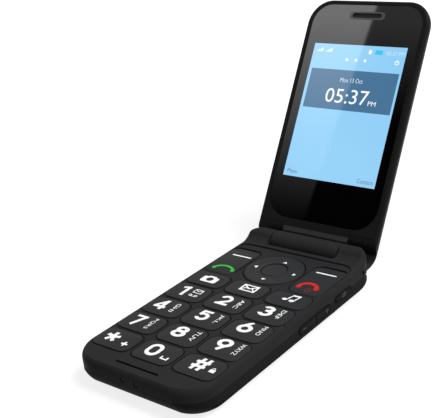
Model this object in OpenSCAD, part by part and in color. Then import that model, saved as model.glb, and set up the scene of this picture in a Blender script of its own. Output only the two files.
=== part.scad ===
// Folding phone with large keys: a keypad base and a lid that turns on a hinge.
// Millimetres, +Z up. X runs across the phone, +Y towards the hinge.
// Origin: centre of the flat underside of the base. The lid stands open at rest.

/* [Overall] */
// Width across the sides of the base
body_w = 56.8; // [56:0.1:58]
// Length of the base, front end to the back of the hinge shoulders
base_l = 111.3; // [110.5:0.1:112]
// Height of the keypad deck above the underside
deck_z = 12.2; // [12:0.05:12.5]
// Rounding of the two front corners seen from above
base_corner_r = 11.5; // [10.5:0.1:12]
// Height of the soft side rim above the keypad deck
rim_h = 0.6; // [0.5:0.05:0.7]
// Wall thickness of the moulded covers
wall = 1.6; // [1.4:0.05:1.7]

/* [Hinge] */
// Angle the lid is open at rest, counted from closed
lid_open = 122.5; // [110:0.5:125]
// Radius of the two hinge shoulders
shoulder_r = 4.7; // [4.6:0.05:4.75]
// Height of the hinge axis above the underside
axis_z = 11.4; // [11.3:0.05:11.5]
// Width of each hinge shoulder
shoulder_w = 12.45; // [12.2:0.05:12.9]
// Radius of the steel hinge pin
pin_r = 1.5; // [1.3:0.05:1.7]
// Radius of the sprung cam unit
cam_r = 2.8; // [2.6:0.05:3]

/* [Lid] */
// How far each side of the lid stands in from the base's side
lid_inset = 0.2; // [0:0.05:0.4]
// Distance from the hinge axis to the free end of the lid
lid_reach = 105.4; // [104.5:0.1:106]
// Thickness of the lid
lid_t = 7.75; // [7.7:0.05:8]
// Rounding of the lid's corners seen from above
lid_corner_r = 10.5; // [10:0.1:11]
// Soft rounding of the outer edge of the lid
lid_edge_r = 6.5; // [6:0.1:6.5]
// Width of the main window glass
glass_w = 51.2; // [50:0.1:51.8]
// Length of the main window glass
glass_l = 92.4; // [91.5:0.1:93]
// Width of the outer window
outer_w = 38.4; // [37:0.1:39]
// Length of the outer window
outer_l = 57.6; // [56:0.1:58.5]

/* [Keys] */
// Width of the side rim beside the outer keys
side_rim = 1.55; // [1.5:0.05:1.8]
// Plain strip between two key columns
key_lane = 1.95; // [1.9:0.05:2.2]
// Distance between key rows
pitch_y = 12.78; // [12.7:0.02:12.9]
// Length of a number key
key_l = 11.3; // [11:0.05:11.4]
// Rounding of the key corners
key_r = 3; // [2:0.1:3.5]
// Height of a key's crown above the deck
key_rise = 0.35; // [0.2:0.05:0.4]
// Gap round each key in the deck
key_gap = 0.25; // [0.2:0.05:0.3]
// Radius of the four-way ring
nav_r = 11.8; // [11.4:0.05:11.9]
// Radius of the middle key of the ring
ok_r = 5.1; // [4.8:0.05:5.2]
// Length of the volume rocker
rocker_l = 20.5; // [19:0.1:21.5]
// Length of the camera side key
side_key_l = 11; // [10:0.1:12]

/* [Inside] */
// Width of the battery
battery_w = 38; // [36:0.5:39]
// Plain strip between the camera ring and the outer window
window_strip = 1.6; // [1.5:0.1:2.5]
// Plain strip between the outer window and the outer keys
out_key_strip = 3.95; // [3.5:0.05:4.5]
// Length of the battery
battery_l = 54; // [52:0.5:55]
// Top of the rear cover, where the two base covers meet
seam_z = 7.4; // [7.3:0.05:7.5]
// Height of the battery cover's edge on the sides
cover_z = 3.6; // [3.3:0.05:3.8]

/* [Hidden] */
$fn = 64;
e = 0.01;
hw = body_w / 2;
lid_w = body_w - 2 * lid_inset;
pocket_x = hw - shoulder_w;
pitch_x = (body_w - 2 * side_rim + key_lane) / 3;
key_w = pitch_x - key_lane;
front_y = -base_l / 2;
back_y = base_l / 2;
rim_z = deck_z + rim_h;
edge_r = 3;
low_r = 3.5;
nose_r = 8.5;
tail_r = 11;
low_out = 2;
axis_y = back_y - shoulder_r;
wall_back_y = axis_y - 1.75;
ramp_y = axis_y - 8.75;
ramp_h = rim_z - axis_z;
ramp_dy = axis_y - ramp_y;
ramp_r = (ramp_dy * ramp_dy + ramp_h * ramp_h - shoulder_r * shoulder_r) / (2 * (shoulder_r - ramp_h));
ramp_cz = rim_z + ramp_r;
cut_r = ramp_r + 0.1;
ramp_k = shoulder_r / (shoulder_r + ramp_r);
meet_y = axis_y - ramp_k * ramp_dy;
meet_z = axis_z + ramp_k * (ramp_cz - axis_z);
run_gap = 0.35;
shaft_gap = 0.05;
deck_t = 1.6;
deck_under = deck_z - deck_t;
deck_x = pitch_x + key_w / 2 + key_gap;
in_x = hw - wall;
solid_y = axis_y - 7.5;
pocket_y = axis_y - 5.8;
flange = 0.4;
flange_bot = deck_under - 0.7;
flange_top = deck_under - 0.05;
rock_top = deck_under - 0.3;
crown_z = deck_z + key_rise;
row0_y = front_y + 14.75;
short_l = key_l - 1.45;
short_y = row0_y + 3 * pitch_y + key_l / 2 + 1.4 + short_l / 2;
nav_y = short_y + short_l / 2 + 0.9 + nav_r;
block_x0 = nav_r + 1.5;
block_x1 = pitch_x + key_w / 2;
block_y0 = short_y + short_l / 2 + 1.75;
block_y1 = nav_y + 11;
block_y = (block_y0 + block_y1) / 2;
board_x = in_x - 2;
board_z0 = seam_z;
board_z1 = board_z0 + 1;
dome_z = board_z1 + 0.3;
mat_z = dome_z + 0.6;
bay_top = seam_z - 0.8;
bay_gap = 0.3;
bay_y = -7;
cover_y = 24;
cover_gap = 0.1;
rocker_y = 11;
rocker_z = 6.3;
rocker_h = 3.2;
side_y = 30.25;
side_z = 7.25;
side_h = 2.3;
lid_hw = lid_w / 2;
lid_z0 = 1.6;
lid_z1 = lid_z0 + lid_t;
lid_seam = 4.2;
lid_back = 7.05;
lid_skin = 1.3;
glass_z0 = lid_z0 + 0.15;
glass_t = 1;
glass_y1 = -10.9;
glass_y0 = glass_y1 - glass_l;
cam_y = -10.6;
cam_ring_r = 5.1;
out_y = cam_y - cam_ring_r - window_strip - outer_l / 2;
out_key_x = 9.5;
out_key_w = 14.4;
out_key_l = 8.7;
out_key_y = out_y - outer_l / 2 - out_key_strip - out_key_l / 2;
display_y = (glass_y0 + glass_y1) / 2 - 0.05;
display_w = 46;
display_l = 62.4;
ear_y = glass_y0 + 4.4;
lid_screw_x = lid_hw - 6.2;
lid_screw_y = -21.5;
lid_screw_y2 = 13.2 - lid_reach;
lboard_w = 40;
lboard_y0 = out_key_y - 5;
lboard_y1 = -12;
magnet_x = lid_hw - 12.2;
magnet_w = 5;
magnet_l = 3.5;
magnet_y = 6.4 - lid_reach;
lamp_y = lid_back - 0.4;
lamp_w = 10.7;
lamp_l = 2.4;
can_y = 35;
can_w = 30;
can_l = 11;
usb_y = 12;
usb_w = 7.6;
motor_x = 17.5;
motor_y = 32;
aerial_x = 4.6 - in_x;
aerial_y = 28;
aerial_w = 13;
aerial_l = 14;
speaker_y = 35.5;
speaker_r = 6.8;
pin_x = pocket_x - 8.95;
pin_l = 15.5;
lboard_z0 = 4.65;
lboard_z1 = 5.35;
barrel_x = pocket_x - 0.4;
screw_front = [hw - 12.4, front_y + 5.2];
screw_back = [hw - 6.4, axis_y - 5.75];
charcoal = [0.19, 0.19, 0.195];
soft_black = [0.11, 0.11, 0.115];
key_black = [0.17, 0.17, 0.175];
glass_black = [0.02, 0.02, 0.022];
metal = [0.75, 0.75, 0.77];
board_green = [0.05, 0.3, 0.16];

// ---- drawing helpers ----

// Extrudes a drawing of (Y, Z) along X, centred.
module along_x(w) {
    rotate([90, 0, 90]) linear_extrude(height = w, center = true) children();
}

// Takes the square corner at (x, y) off to a true arc; sx and sy say which corner.
module corner_cut(x, y, sx, sy, r) {
    translate([x - sx * r, y - sy * r]) difference() {
        translate([sx > 0 ? 0 : -r - 1, sy > 0 ? 0 : -r - 1]) square(r + 1);
        circle(r);
    }
}

// Rectangle with true arcs at its corners, centred.
module rrect(w, l, r) {
    difference() {
        square([w, l], center = true);
        for (i = [-1, 1], j = [-1, 1]) corner_cut(i * w / 2, j * l / 2, i, j, r);
    }
}

// Solid between two heights with a rounded rectangular outline.
module plate(x, y, w, l, r, z0, z1) {
    translate([x, y, z0]) linear_extrude(height = z1 - z0) rrect(w, l, r);
}

// Box from low corner to high corner.
module span(a, b) {
    translate(a) cube([b[0] - a[0], b[1] - a[1], b[2] - a[2]]);
}

// Edge section of a soft slab: straight inside, rounded below by rb and above by rt.
module slab_edge(len, z0, z1, rb, rt) {
    difference() {
        translate([0, z0]) square([len, z1 - z0]);
        corner_cut(len, z1, 1, 1, rt);
        corner_cut(len, z0, 1, -1, rb);
    }
}

// Slab with true rounded edges and corners, from y0 to y1.
module soft_slab(w, y0, y1, r, z0, z1, rb, rt) {
    cx = w / 2 - r;
    for (y = [y0 + r, y1 - r], i = [-1, 1]) translate([i * cx, y, 0])
        rotate_extrude() slab_edge(r, z0, z1, rb, rt);
    translate([0, (y0 + y1) / 2, 0]) rotate([90, 0, 0])
        linear_extrude(height = y1 - y0 - 2 * r, center = true) {
            slab_edge(w / 2, z0, z1, rb, rt);
            mirror([1, 0]) slab_edge(w / 2, z0, z1, rb, rt);
        }
    along_x(2 * cx) {
        translate([(y0 + y1) / 2, 0]) slab_edge((y1 - y0) / 2, z0, z1, rb, rt);
        translate([(y0 + y1) / 2, 0]) mirror([1, 0]) slab_edge((y1 - y0) / 2, z0, z1, rb, rt);
    }
}

// ---- base shape ----

// Softens the four lower corners; d takes it inwards by a wall.
module low_round(d) {
    soft_slab(body_w + 2 * (low_out - d), front_y - 0.2 + d, back_y + 0.4 - d,
        base_corner_r + low_out - d, d, 30, nose_r - d, 0.05);
}

// Rounds the two corners at the hinge end, seen from above.
module tail_round() {
    soft_slab(body_w + 0.1, front_y - 3, back_y + 0.1, tail_r, -2, rim_z + 3.7, 0.05, 3.3);
}

module block_core() {
    intersection() {
        soft_slab(body_w, front_y, wall_back_y + base_corner_r, base_corner_r, 0, rim_z, low_r, edge_r);
        low_round(0);
        along_x(body_w + 2) difference() {
            translate([front_y, 0]) square([wall_back_y - front_y, rim_z]);
            corner_cut(front_y, 0, -1, -1, nose_r);
            corner_cut(wall_back_y, 0, 1, -1, low_r);
        }
    }
}

module base_block() {
    intersection() {
        block_core();
        tail_round();
    }
}

// Concave cutter over the ramp; it flares out so that the ramp's outer edges stay rounded.
module ramp_cutter() {
    translate([0, ramp_y, ramp_cz]) rotate([0, 90, 0]) rotate_extrude() {
        translate([0, -hw - 1]) square([cut_r, body_w + 2]);
        for (i = [-1, 1]) difference() {
            translate([cut_r - 1, i > 0 ? hw - edge_r : -hw - 1]) square([edge_r + 1, edge_r + 1]);
            translate([cut_r + edge_r, i * (hw - edge_r)]) circle(edge_r);
        }
    }
}

// Two shoulders and the ramps up to them; a hair narrower than the block they grow out of.
module shoulders() {
    difference() {
        along_x(body_w - 0.1) polygon([[ramp_y - 1, 8.5], [axis_y, 8.5], [axis_y, axis_z],
            [meet_y, meet_z], [ramp_y, meet_z], [ramp_y, rim_z - 1], [ramp_y - 1, rim_z - 1]]);
        ramp_cutter();
    }
    translate([0, axis_y, axis_z]) rotate([0, 90, 0]) rotate_extrude() difference() {
        translate([0, -hw + 0.02]) square([shoulder_r, body_w - 0.04]);
        corner_cut(shoulder_r, hw - 0.02, 1, 1, edge_r);
        corner_cut(shoulder_r, -hw + 0.02, 1, -1, edge_r);
    }
}

module base_solid() {
    intersection() {
        union() {
            block_core();
            shoulders();
        }
        tail_round();
    }
}

// ---- openings ----

module key_at(c, r, grow, z0, z1) {
    plate(c * pitch_x, row0_y + r * pitch_y, key_w + 2 * grow, key_l + 2 * grow, key_r + grow, z0, z1);
}

module short_at(c, grow, z0, z1) {
    plate(c * pitch_x, short_y, key_w + 2 * grow, short_l + 2 * grow, key_r + grow, z0, z1);
}

module block_at(s, grow, z0, z1) {
    plate(s * (block_x0 + block_x1) / 2, block_y, block_x1 - block_x0 + 2 * grow,
        block_y1 - block_y0 + 2 * grow, key_r + grow, z0, z1);
}

module side_opening(y, z, l, h, grow) {
    translate([hw, y, z]) rotate([90, 0, 90]) linear_extrude(height = 6, center = true)
        rrect(l + 2 * grow, h + 2 * grow, h / 2 + grow - 0.01);
}

// Room for the moving parts of the side keys, and the wall openings.
module side_key_room() {
    side_opening(rocker_y, rocker_z, rocker_l, rocker_h, 0.2);
    side_opening(side_y, side_z, side_key_l, side_h, 0.2);
    span([board_x + 0.15, rocker_y - rocker_l / 2 - 1, rocker_z - 2.5],
        [in_x, rocker_y + rocker_l / 2 + 1, rocker_z + 2.5]);
    span([board_x + 0.15, side_y - side_key_l / 2 - 1, side_z - 2],
        [in_x, side_y + side_key_l / 2 + 1, side_z + 2]);
}

// Hinge pocket between the shoulders, with running room round the lid's barrel.
module hinge_pocket() {
    span([-pocket_x, pocket_y, axis_z - 1], [pocket_x, back_y + 1, rim_z + 8]);
    span([-pocket_x, ramp_y - 2, rim_z], [pocket_x, back_y + 1, rim_z + 8]);
    translate([0, axis_y, axis_z]) rotate([0, 90, 0])
        cylinder(r = shoulder_r + run_gap + 0.05, h = 2 * pocket_x, center = true);
    span([-pocket_x, axis_y - 2.5, axis_z - 5.3], [pocket_x, back_y + 1, axis_z]);
}

module hinge_bores() {
    translate([-pocket_x - 6.05, axis_y, axis_z]) rotate([0, 90, 0]) cylinder(r = pin_r + shaft_gap, h = 8);
    translate([pocket_x - 1.95, axis_y, axis_z]) rotate([0, 90, 0]) cylinder(r = pin_r, h = 9);
}

// Two cord holes in the right side wall, joined inside.
module cord_holes() {
    for (y = [axis_y - 5.55, axis_y - 2.85]) translate([hw - 3, y, 9.2]) rotate([0, 90, 0])
        cylinder(r = 0.85, h = 5, $fn = 32);
    translate([hw - 2.4, axis_y - 4.2, 9.2]) rotate([90, 0, 0]) cylinder(r = 0.85, h = 4.4, center = true, $fn = 32);
}

// ---- base covers ----

module base_front_cover() color(charcoal) difference() {
    union() {
        difference() {
            base_solid();
            intersection() {
                translate([0, 0, seam_z - 1]) soft_slab(body_w - 2 * wall, front_y + wall, solid_y + 8,
                    base_corner_r - wall, 0, deck_under - seam_z + 1, 0.05, 0.2);
                span([-30, front_y, 0], [30, solid_y, 20]);
            }
            span([-40, front_y - 1, -1], [40, wall_back_y + 0.6, seam_z]);
        }
        for (i = [-1, 1]) translate([i * screw_front[0], screw_front[1], seam_z])
            cylinder(r = 2.1, h = deck_under - seam_z + 0.3);
    }
    plate(0, (front_y - 7 + ramp_y) / 2, 2 * deck_x, ramp_y - front_y + 7, 5, deck_z, deck_z + 9);
    for (c = [-1, 0, 1], r = [0 : 3]) key_at(c, r, key_gap, deck_under - 1.3, deck_z + 1);
    for (c = [-1, 0, 1]) short_at(c, key_gap, deck_under - 1.3, deck_z + 1);
    for (s = [-1, 1]) block_at(s, key_gap, deck_under - 1.3, deck_z + 1);
    translate([0, nav_y, deck_under - 1]) cylinder(r = nav_r + key_gap, h = 4, $fn = 96);
    plate(0, front_y + 4.4, 19, 0.9, 0.44, deck_under - 1, deck_z + 1);
    translate([deck_x + 0.15, row0_y + 20.85 + pitch_y * 1.1, deck_z - 0.6]) cylinder(r = 0.35, h = 2, $fn = 32);
    for (i = [-1, 1]) translate([i * 3, front_y - 1, 8.9]) rotate([-90, 0, 0]) cylinder(r = 0.95, h = 4, $fn = 32);
    for (i = [-1, 1]) translate([i * screw_front[0], screw_front[1], seam_z - 1]) cylinder(r = 0.9, h = 3.6, $fn = 32);
    for (i = [-1, 1]) translate([i * screw_back[0], screw_back[1], seam_z - 1]) cylinder(r = 0.9, h = 4.6, $fn = 32);
    hinge_pocket();
    hinge_bores();
    side_key_room();
    cord_holes();
}

module battery_bay(grow, z0, z1) {
    span([-battery_w / 2 - grow, bay_y - battery_l / 2 - grow, z0],
        [battery_w / 2 + grow, bay_y + battery_l / 2 + grow, z1]);
}

// Tray-shaped envelope of the removable cover.
module cover_envelope(grow) {
    intersection() {
        base_block();
        span([-40, front_y - 1, -1], [40, cover_y + grow, cover_z + grow]);
    }
}

module base_rear_cover() color(soft_black) difference() {
    union() {
        difference() {
            intersection() {
                base_block();
                span([-40, front_y - 1, -1], [40, back_y, seam_z]);
            }
            span([-40, front_y - 1, -1], [40, cover_y + cover_gap, cover_z + cover_gap]);
            intersection() {
                soft_slab(body_w - 2 * wall, front_y + wall, cover_y, base_corner_r - wall,
                    1, bay_top, 0.05, 0.05);
                low_round(0.8);
            }
            intersection() {
                span([-in_x + 0.6, cover_y + 2, 1.4], [in_x - 0.6, wall_back_y - wall, seam_z + 1]);
                plate(0, 0, 2 * in_x - 1.1, 2 * (wall_back_y - wall) + 0.1, 6, 1, seam_z + 2);
                low_round(1.3);
            }
        }
        intersection() {
            difference() {
                battery_bay(bay_gap + 1.1, 1.45, bay_top + 0.1);
                battery_bay(bay_gap, 0, bay_top);
            }
            base_block();
        }
        span([-in_x, cover_y + cover_gap, 1.3], [in_x, cover_y + 2.5, bay_top]);
        for (i = [-1, 1]) translate([i * screw_back[0], screw_back[1], 1.1]) cylinder(r = 2.9, h = seam_z - 1.1);
    }
    // seat for the shoulders and for the pocket wall of the upper cover
    translate([0, axis_y, axis_z]) rotate([0, 90, 0]) cylinder(r = shoulder_r + 0.6, h = 70, center = true);
    for (i = [-1, 1]) translate([i * screw_front[0], screw_front[1], 0]) cylinder(r = 1.05, h = 12, $fn = 32);
    for (i = [-1, 1]) translate([i * screw_back[0], screw_back[1], -1]) cylinder(r = 1.05, h = 12, $fn = 32);
    for (i = [-1, 1]) translate([i * screw_back[0], screw_back[1], -1]) cylinder(r = 2, h = 5, $fn = 48);
    // loudspeaker slots
    for (x = [-4.5 : 3 : 4.5]) plate(x, speaker_y, 1.1, 7, 0.5, -1, 2);
    // socket opening in the left wall, and its notch in the shelf
    translate([-hw, usb_y, 6.05]) rotate([90, 0, 90]) linear_extrude(height = 6, center = true)
        rrect(usb_w + 0.6, 3, 0.6);
    span([-in_x, usb_y - 4.4, 4.5], [4.8 - in_x, usb_y + 4.4, seam_z + 1]);
    // shelf openings: card holder springs and battery contacts
    span([-8, bay_y - battery_l / 2 - 2, 3], [8, bay_y - battery_l / 2 + 0.5, seam_z + 1]);
    side_key_room();
    span([hw - 0.9, front_y + 6, cover_z - 0.3], [hw + 1, front_y + 13, cover_z + 0.5]);
}

module battery_cover() color(soft_black) difference() {
    cover_envelope(0);
    intersection() {
        soft_slab(body_w - 2 * 1.4, front_y + 1.4, cover_y + 40, base_corner_r - 1.4, 1.2, 9, 1.6, 0.05);
        low_round(1.15);
        translate([0, 0, 1.2]) along_x(70) difference() {
            translate([front_y + 1.4, 0]) square([100, 9]);
            corner_cut(front_y + 1.4, 0, -1, -1, 6.9);
        }
    }
    span([-in_x - e, cover_y - 1.5, 1.2], [in_x + e, cover_y + 1, 9]);
    // finger notch at the front right corner
    translate([hw - 5.6, front_y + 5.6, cover_z + 0.9]) rotate([0, 0, 45]) rotate([0, 90, 0])
        cylinder(r = 1.5, h = 7, $fn = 48);
}

// ---- base insides ----

module battery() color([0.2, 0.22, 0.25]) {
    z0 = 1.5;
    z1 = bay_top - 0.05;
    plate(0, bay_y, battery_w, battery_l, 1.5, z0, z1);
}

module battery_contacts() color([0.8, 0.68, 0.35]) {
    y = bay_y - battery_l / 2;
    span([-6.5, y - 1.8, 3.4], [6.5, y - 0.6, seam_z]);
    for (x = [-4, 0, 4]) span([x - 0.7, y - 0.61, 4.2], [x + 0.7, y - 0.02, 5.4]);
}

module board_outline(d, y1) {
    intersection() {
        soft_slab(2 * board_x, front_y + wall + d, solid_y + 20, base_corner_r - wall - d, 0, 20, 0.05, 0.05);
        span([-30, front_y, 0], [30, y1, 30]);
    }
}

module main_board() color(board_green) difference() {
    intersection() {
        board_outline(0.8, solid_y - 0.6);
        span([-30, front_y, board_z0], [30, 60, board_z1]);
    }
    for (i = [-1, 1]) translate([i * screw_front[0], screw_front[1], 0]) cylinder(r = 2.3, h = 20, $fn = 48);
    span([-7, bay_y - battery_l / 2 - 1.9, 7], [7, bay_y - battery_l / 2 - 0.5, 9]);
}

module shield_can() color(metal) difference() {
    plate(0, can_y, can_w, can_l, 1, seam_z - 1.7, seam_z);
    plate(0, can_y, can_w - 0.4, can_l - 0.4, 0.8, seam_z - 1.5, seam_z + 1);
}

module dome_sheet() color([0.85, 0.85, 0.8]) {
    plate(0, (row0_y - 7 + block_y1 + 2) / 2, 2 * board_x - 1, block_y1 + 2 - row0_y + 7, 2,
        board_z1, board_z1 + 0.15);
    for (c = [-1, 0, 1], r = [0 : 3]) translate([c * pitch_x, row0_y + r * pitch_y, board_z1 + 0.1])
        cylinder(r = 2.2, h = dome_z - board_z1 - 0.1, $fn = 32);
    for (c = [-1, 0, 1]) translate([c * pitch_x, short_y, board_z1 + 0.1])
        cylinder(r = 2.2, h = dome_z - board_z1 - 0.1, $fn = 32);
    for (x = [-8.5, 0, 8.5]) translate([x, nav_y, board_z1 + 0.1])
        cylinder(r = 2.2, h = dome_z - board_z1 - 0.1, $fn = 32);
    for (s = [-1, 1], y = [-1, 1]) translate([s * (block_x0 + block_x1) / 2, block_y + y * 6, board_z1 + 0.1])
        cylinder(r = 2.2, h = dome_z - board_z1 - 0.1, $fn = 32);
}

module keypad_mat() color([0.3, 0.31, 0.33]) {
    plate(0, (row0_y - 7 + block_y1 + 2) / 2, 2 * board_x - 0.6, block_y1 + 2 - row0_y + 7, 2, dome_z, mat_z);
}

module loudspeaker() color([0.25, 0.25, 0.27]) difference() {
    translate([0, speaker_y, 1.4]) cylinder(r = speaker_r, h = 3.2);
    translate([0, speaker_y, 1]) cylinder(r = speaker_r - 1.4, h = 0.8);
}

module microphone() color(metal) {
    translate([0, front_y + 4.4, board_z1]) cylinder(r = 1.5, h = 1.2, $fn = 48);
}

module vibration_motor() color(metal) {
    translate([motor_x, motor_y, 3.4]) rotate([-90, 0, 0]) cylinder(r = 2, h = 9, $fn = 48);
    intersection() {
        translate([motor_x, motor_y + 9.5, 3.4]) rotate([-90, 0, 0]) cylinder(r = 1.9, h = 2.2, $fn = 48);
        span([motor_x - 2.5, motor_y + 9, 1], [motor_x + 2.5, motor_y + 12, 3.9]);
    }
    translate([motor_x, motor_y + 8, 3.4]) rotate([-90, 0, 0]) cylinder(r = 0.5, h = 3, $fn = 24);
}

module usb_socket() color(metal) difference() {
    plate(-hw + 3.3, usb_y, 5.6, usb_w, 0.3, 4.75, seam_z);
    translate([-hw, usb_y, 6.1]) rotate([90, 0, 90]) linear_extrude(height = 9, center = true)
        rrect(usb_w - 0.7, 1.9, 0.6);
}

module sim_holder() color(metal) difference() {
    span([-14, front_y + 8.4, bay_top - 1.6], [14, bay_y - battery_l / 2 - 2, bay_top]);
    span([-12.5, front_y + 8, bay_top - 1.2], [12.5, bay_y - battery_l / 2 - 3.5, bay_top - 0.3]);
}

module charging_contacts() color([0.83, 0.7, 0.4]) {
    for (i = [-1, 1]) translate([i * 3, front_y + 0.3, 8.9]) rotate([-90, 0, 0])
        cylinder(r = 0.8, h = 2.05, $fn = 32);
    span([-4.5, front_y + 2.3, board_z1], [4.5, front_y + 2.75, 9.9]);
}

module antenna() color([0.8, 0.6, 0.3]) {
    span([aerial_x, aerial_y, 1.4], [aerial_x + aerial_w, aerial_y + aerial_l, 1.7]);
    span([aerial_x, aerial_y, 1.4], [aerial_x + 0.3, aerial_y + aerial_l, 6.5]);
}

module base_screws() color(metal) {
    for (i = [-1, 1]) translate([i * screw_front[0], screw_front[1], bay_top - 1.1]) {
        cylinder(r = 1.8, h = 1.1, $fn = 48);
        cylinder(r = 0.85, h = 4.4, $fn = 32);
    }
    for (i = [-1, 1]) translate([i * screw_back[0], screw_back[1], 2.9]) {
        cylinder(r = 1.8, h = 1.1, $fn = 48);
        cylinder(r = 0.85, h = 8, $fn = 32);
    }
}

module hinge_pin() color(metal) {
    translate([pin_x, axis_y, axis_z]) rotate([0, 90, 0]) cylinder(r = pin_r, h = pin_l);
}

// ---- keys ----

// Low crown over a key: two shallow true arcs.
module crown(x, y, w, l) {
    intersection() {
        translate([x, y, crown_z - 150]) rotate([90, 0, 0]) cylinder(r = 150, h = l, center = true, $fn = 128);
        translate([x, y, crown_z - 85]) rotate([0, 90, 0]) cylinder(r = 85, h = w, center = true, $fn = 128);
    }
}

// Keeps a key's hidden flange clear of the side walls.
module keep_inside() {
    span([-in_x + 0.2, -60, 0], [in_x - 0.2, 60, 30]);
}

module number_key(c, r) {
    color(key_black) {
        intersection() {
            key_at(c, r, 0, flange_bot, crown_z + 1);
            crown(c * pitch_x, row0_y + r * pitch_y, key_w + 2, key_l + 2);
        }
        intersection() {
            key_at(c, r, flange, flange_bot, flange_top);
            keep_inside();
        }
    }
}

module short_key(c) {
    color(key_black) {
        intersection() {
            short_at(c, 0, flange_bot, crown_z + 1);
            crown(c * pitch_x, short_y, key_w + 2, short_l + 2);
        }
        intersection() {
            short_at(c, flange, flange_bot, flange_top);
            keep_inside();
        }
    }
}

module rocker_block(s) {
    color(key_black) {
        intersection() {
            block_at(s, 0, flange_bot, crown_z + 1);
            crown(s * (block_x0 + block_x1) / 2, block_y, 20, 24);
        }
        intersection() {
            block_at(s, flange, flange_bot, rock_top);
            keep_inside();
        }
    }
}

module key_star() { number_key(-1, 0); }
module key_0() { number_key(0, 0); }
module key_hash() { number_key(1, 0); }
module key_7() { number_key(-1, 1); }
module key_8() { number_key(0, 1); }
module key_9() { number_key(1, 1); }
module key_4() { number_key(-1, 2); }
module key_5() { number_key(0, 2); }
module key_6() { number_key(1, 2); }
module key_1() { number_key(-1, 3); }
module key_2() { number_key(0, 3); }
module key_3() { number_key(1, 3); }
module key_camera() { short_key(-1); }
module key_message() { short_key(0); }
module key_music() { short_key(1); }
module left_rocker() { rocker_block(-1); }
module right_rocker() { rocker_block(1); }

module nav_ring() color(key_black) translate([0, nav_y, 0]) rotate_extrude($fn = 96) difference() {
    union() {
        translate([ok_r + 0.3, flange_bot]) square([nav_r - ok_r - 0.3, crown_z - flange_bot]);
        translate([ok_r + 0.3, flange_bot]) square([nav_r + flange - ok_r - 0.3, rock_top - flange_bot]);
    }
    corner_cut(nav_r, crown_z, 1, 1, 0.5);
    translate([ok_r + 2.2, crown_z + 11.85]) circle(12, $fn = 96);
}

// Gimbal under the ring: two ribs carry the ring, two pips stand on the mat.
module nav_pivot() color([0.3, 0.3, 0.32]) translate([0, nav_y, 0]) difference() {
    union() {
        translate([0, 0, 9.45]) cylinder(r = 6.6, h = 0.25);
        span([-0.9, -6.5, 9.5], [0.9, 6.5, flange_bot - 0.03]);
        span([-6.5, -0.9, mat_z + 0.03], [6.5, 0.9, 9.6]);
    }
    translate([0, 0, 8]) cylinder(r = ok_r + 0.4, h = 4);
}

module ok_key() color(key_black) translate([0, nav_y, 0]) rotate_extrude() difference() {
    translate([0, mat_z + 0.4]) square([ok_r, crown_z - mat_z - 0.45]);
    corner_cut(ok_r, crown_z - 0.05, 1, 1, 0.5);
}

module side_key_body(y, z, l, h) {
    translate([hw - 1.1, y, z]) rotate([90, 0, 90]) linear_extrude(height = 2.9, center = true)
        rrect(l, h, h / 2 - 0.01);
    translate([in_x - 0.75, y, z]) rotate([90, 0, 90]) linear_extrude(height = 0.5, center = true)
        rrect(l + 1.2, h + 1.2, 0.8);
}

module volume_rocker() color(key_black) difference() {
    side_key_body(rocker_y, rocker_z, rocker_l, rocker_h);
    translate([hw + 2.55, rocker_y, rocker_z]) rotate([0, 0, 0]) cylinder(r = 2.5, h = 10, center = true, $fn = 48);
}

module camera_side_key() color(key_black) {
    side_key_body(side_y, side_z, side_key_l, side_h);
}

// ---- lid, drawn closed with the hinge axis at the origin ----

// Moves a closed-lid drawing to the open rest pose.
module opened() {
    translate([0, axis_y, axis_z]) rotate([-lid_open, 0, 0]) children();
}

module lid_solid() {
    soft_slab(lid_w, -lid_reach, lid_back, lid_corner_r, lid_z0, lid_z1, 1.2, lid_edge_r);
}

// Room for one shoulder and its ramp, and for the base below the skirt.
module shoulder_room() {
    for (s = [-1, 1]) translate([s * (barrel_x + 15), 0, 0]) {
        along_x(30) {
            circle(shoulder_r + run_gap);
            translate([0, -10]) square([lid_back + 5, 12.8]);
            translate([-shoulder_r - run_gap, -10]) square([shoulder_r + run_gap, 10]);
            difference() {
                translate([-ramp_dy, 0]) square([ramp_dy - 2, meet_z - axis_z + 0.3]);
                translate([-ramp_dy, ramp_cz - axis_z]) circle(ramp_r - run_gap, $fn = 96);
            }
        }
    }
}

// Room for the barrel between the shoulders.
module barrel_room() {
    along_x(2 * barrel_x + 0.02) {
        circle(shoulder_r + shaft_gap);
        translate([0, -10]) square([lid_back + 5, 12.8]);
        translate([-shoulder_r - shaft_gap, -10]) square([shoulder_r + shaft_gap, 10]);
    }
}

module lug(grow) {
    for (s = [-1, 1]) span([s * 8 - 3 - grow, -2 - grow, 3], [s * 8 + 3 + grow, 2 + grow, 6.3 + grow]);
}

module outer_window_shape(d, z0, z1) {
    plate(0, out_y, outer_w - 2 * d, outer_l - 2 * d, 6 - d, z0, z1);
}

module out_key_shape(s, grow, z0, z1) {
    plate(s * out_key_x, out_key_y, out_key_w + 2 * grow, out_key_l + 2 * grow, 2.8 + grow, z0, z1);
}

module lid_cavity(z0, z1) {
    soft_slab(lid_w - 3, -lid_reach + 1.5, -9.5, lid_corner_r - 1.5, z0, z1, 0.05, lid_edge_r - 2.5);
}

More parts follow.
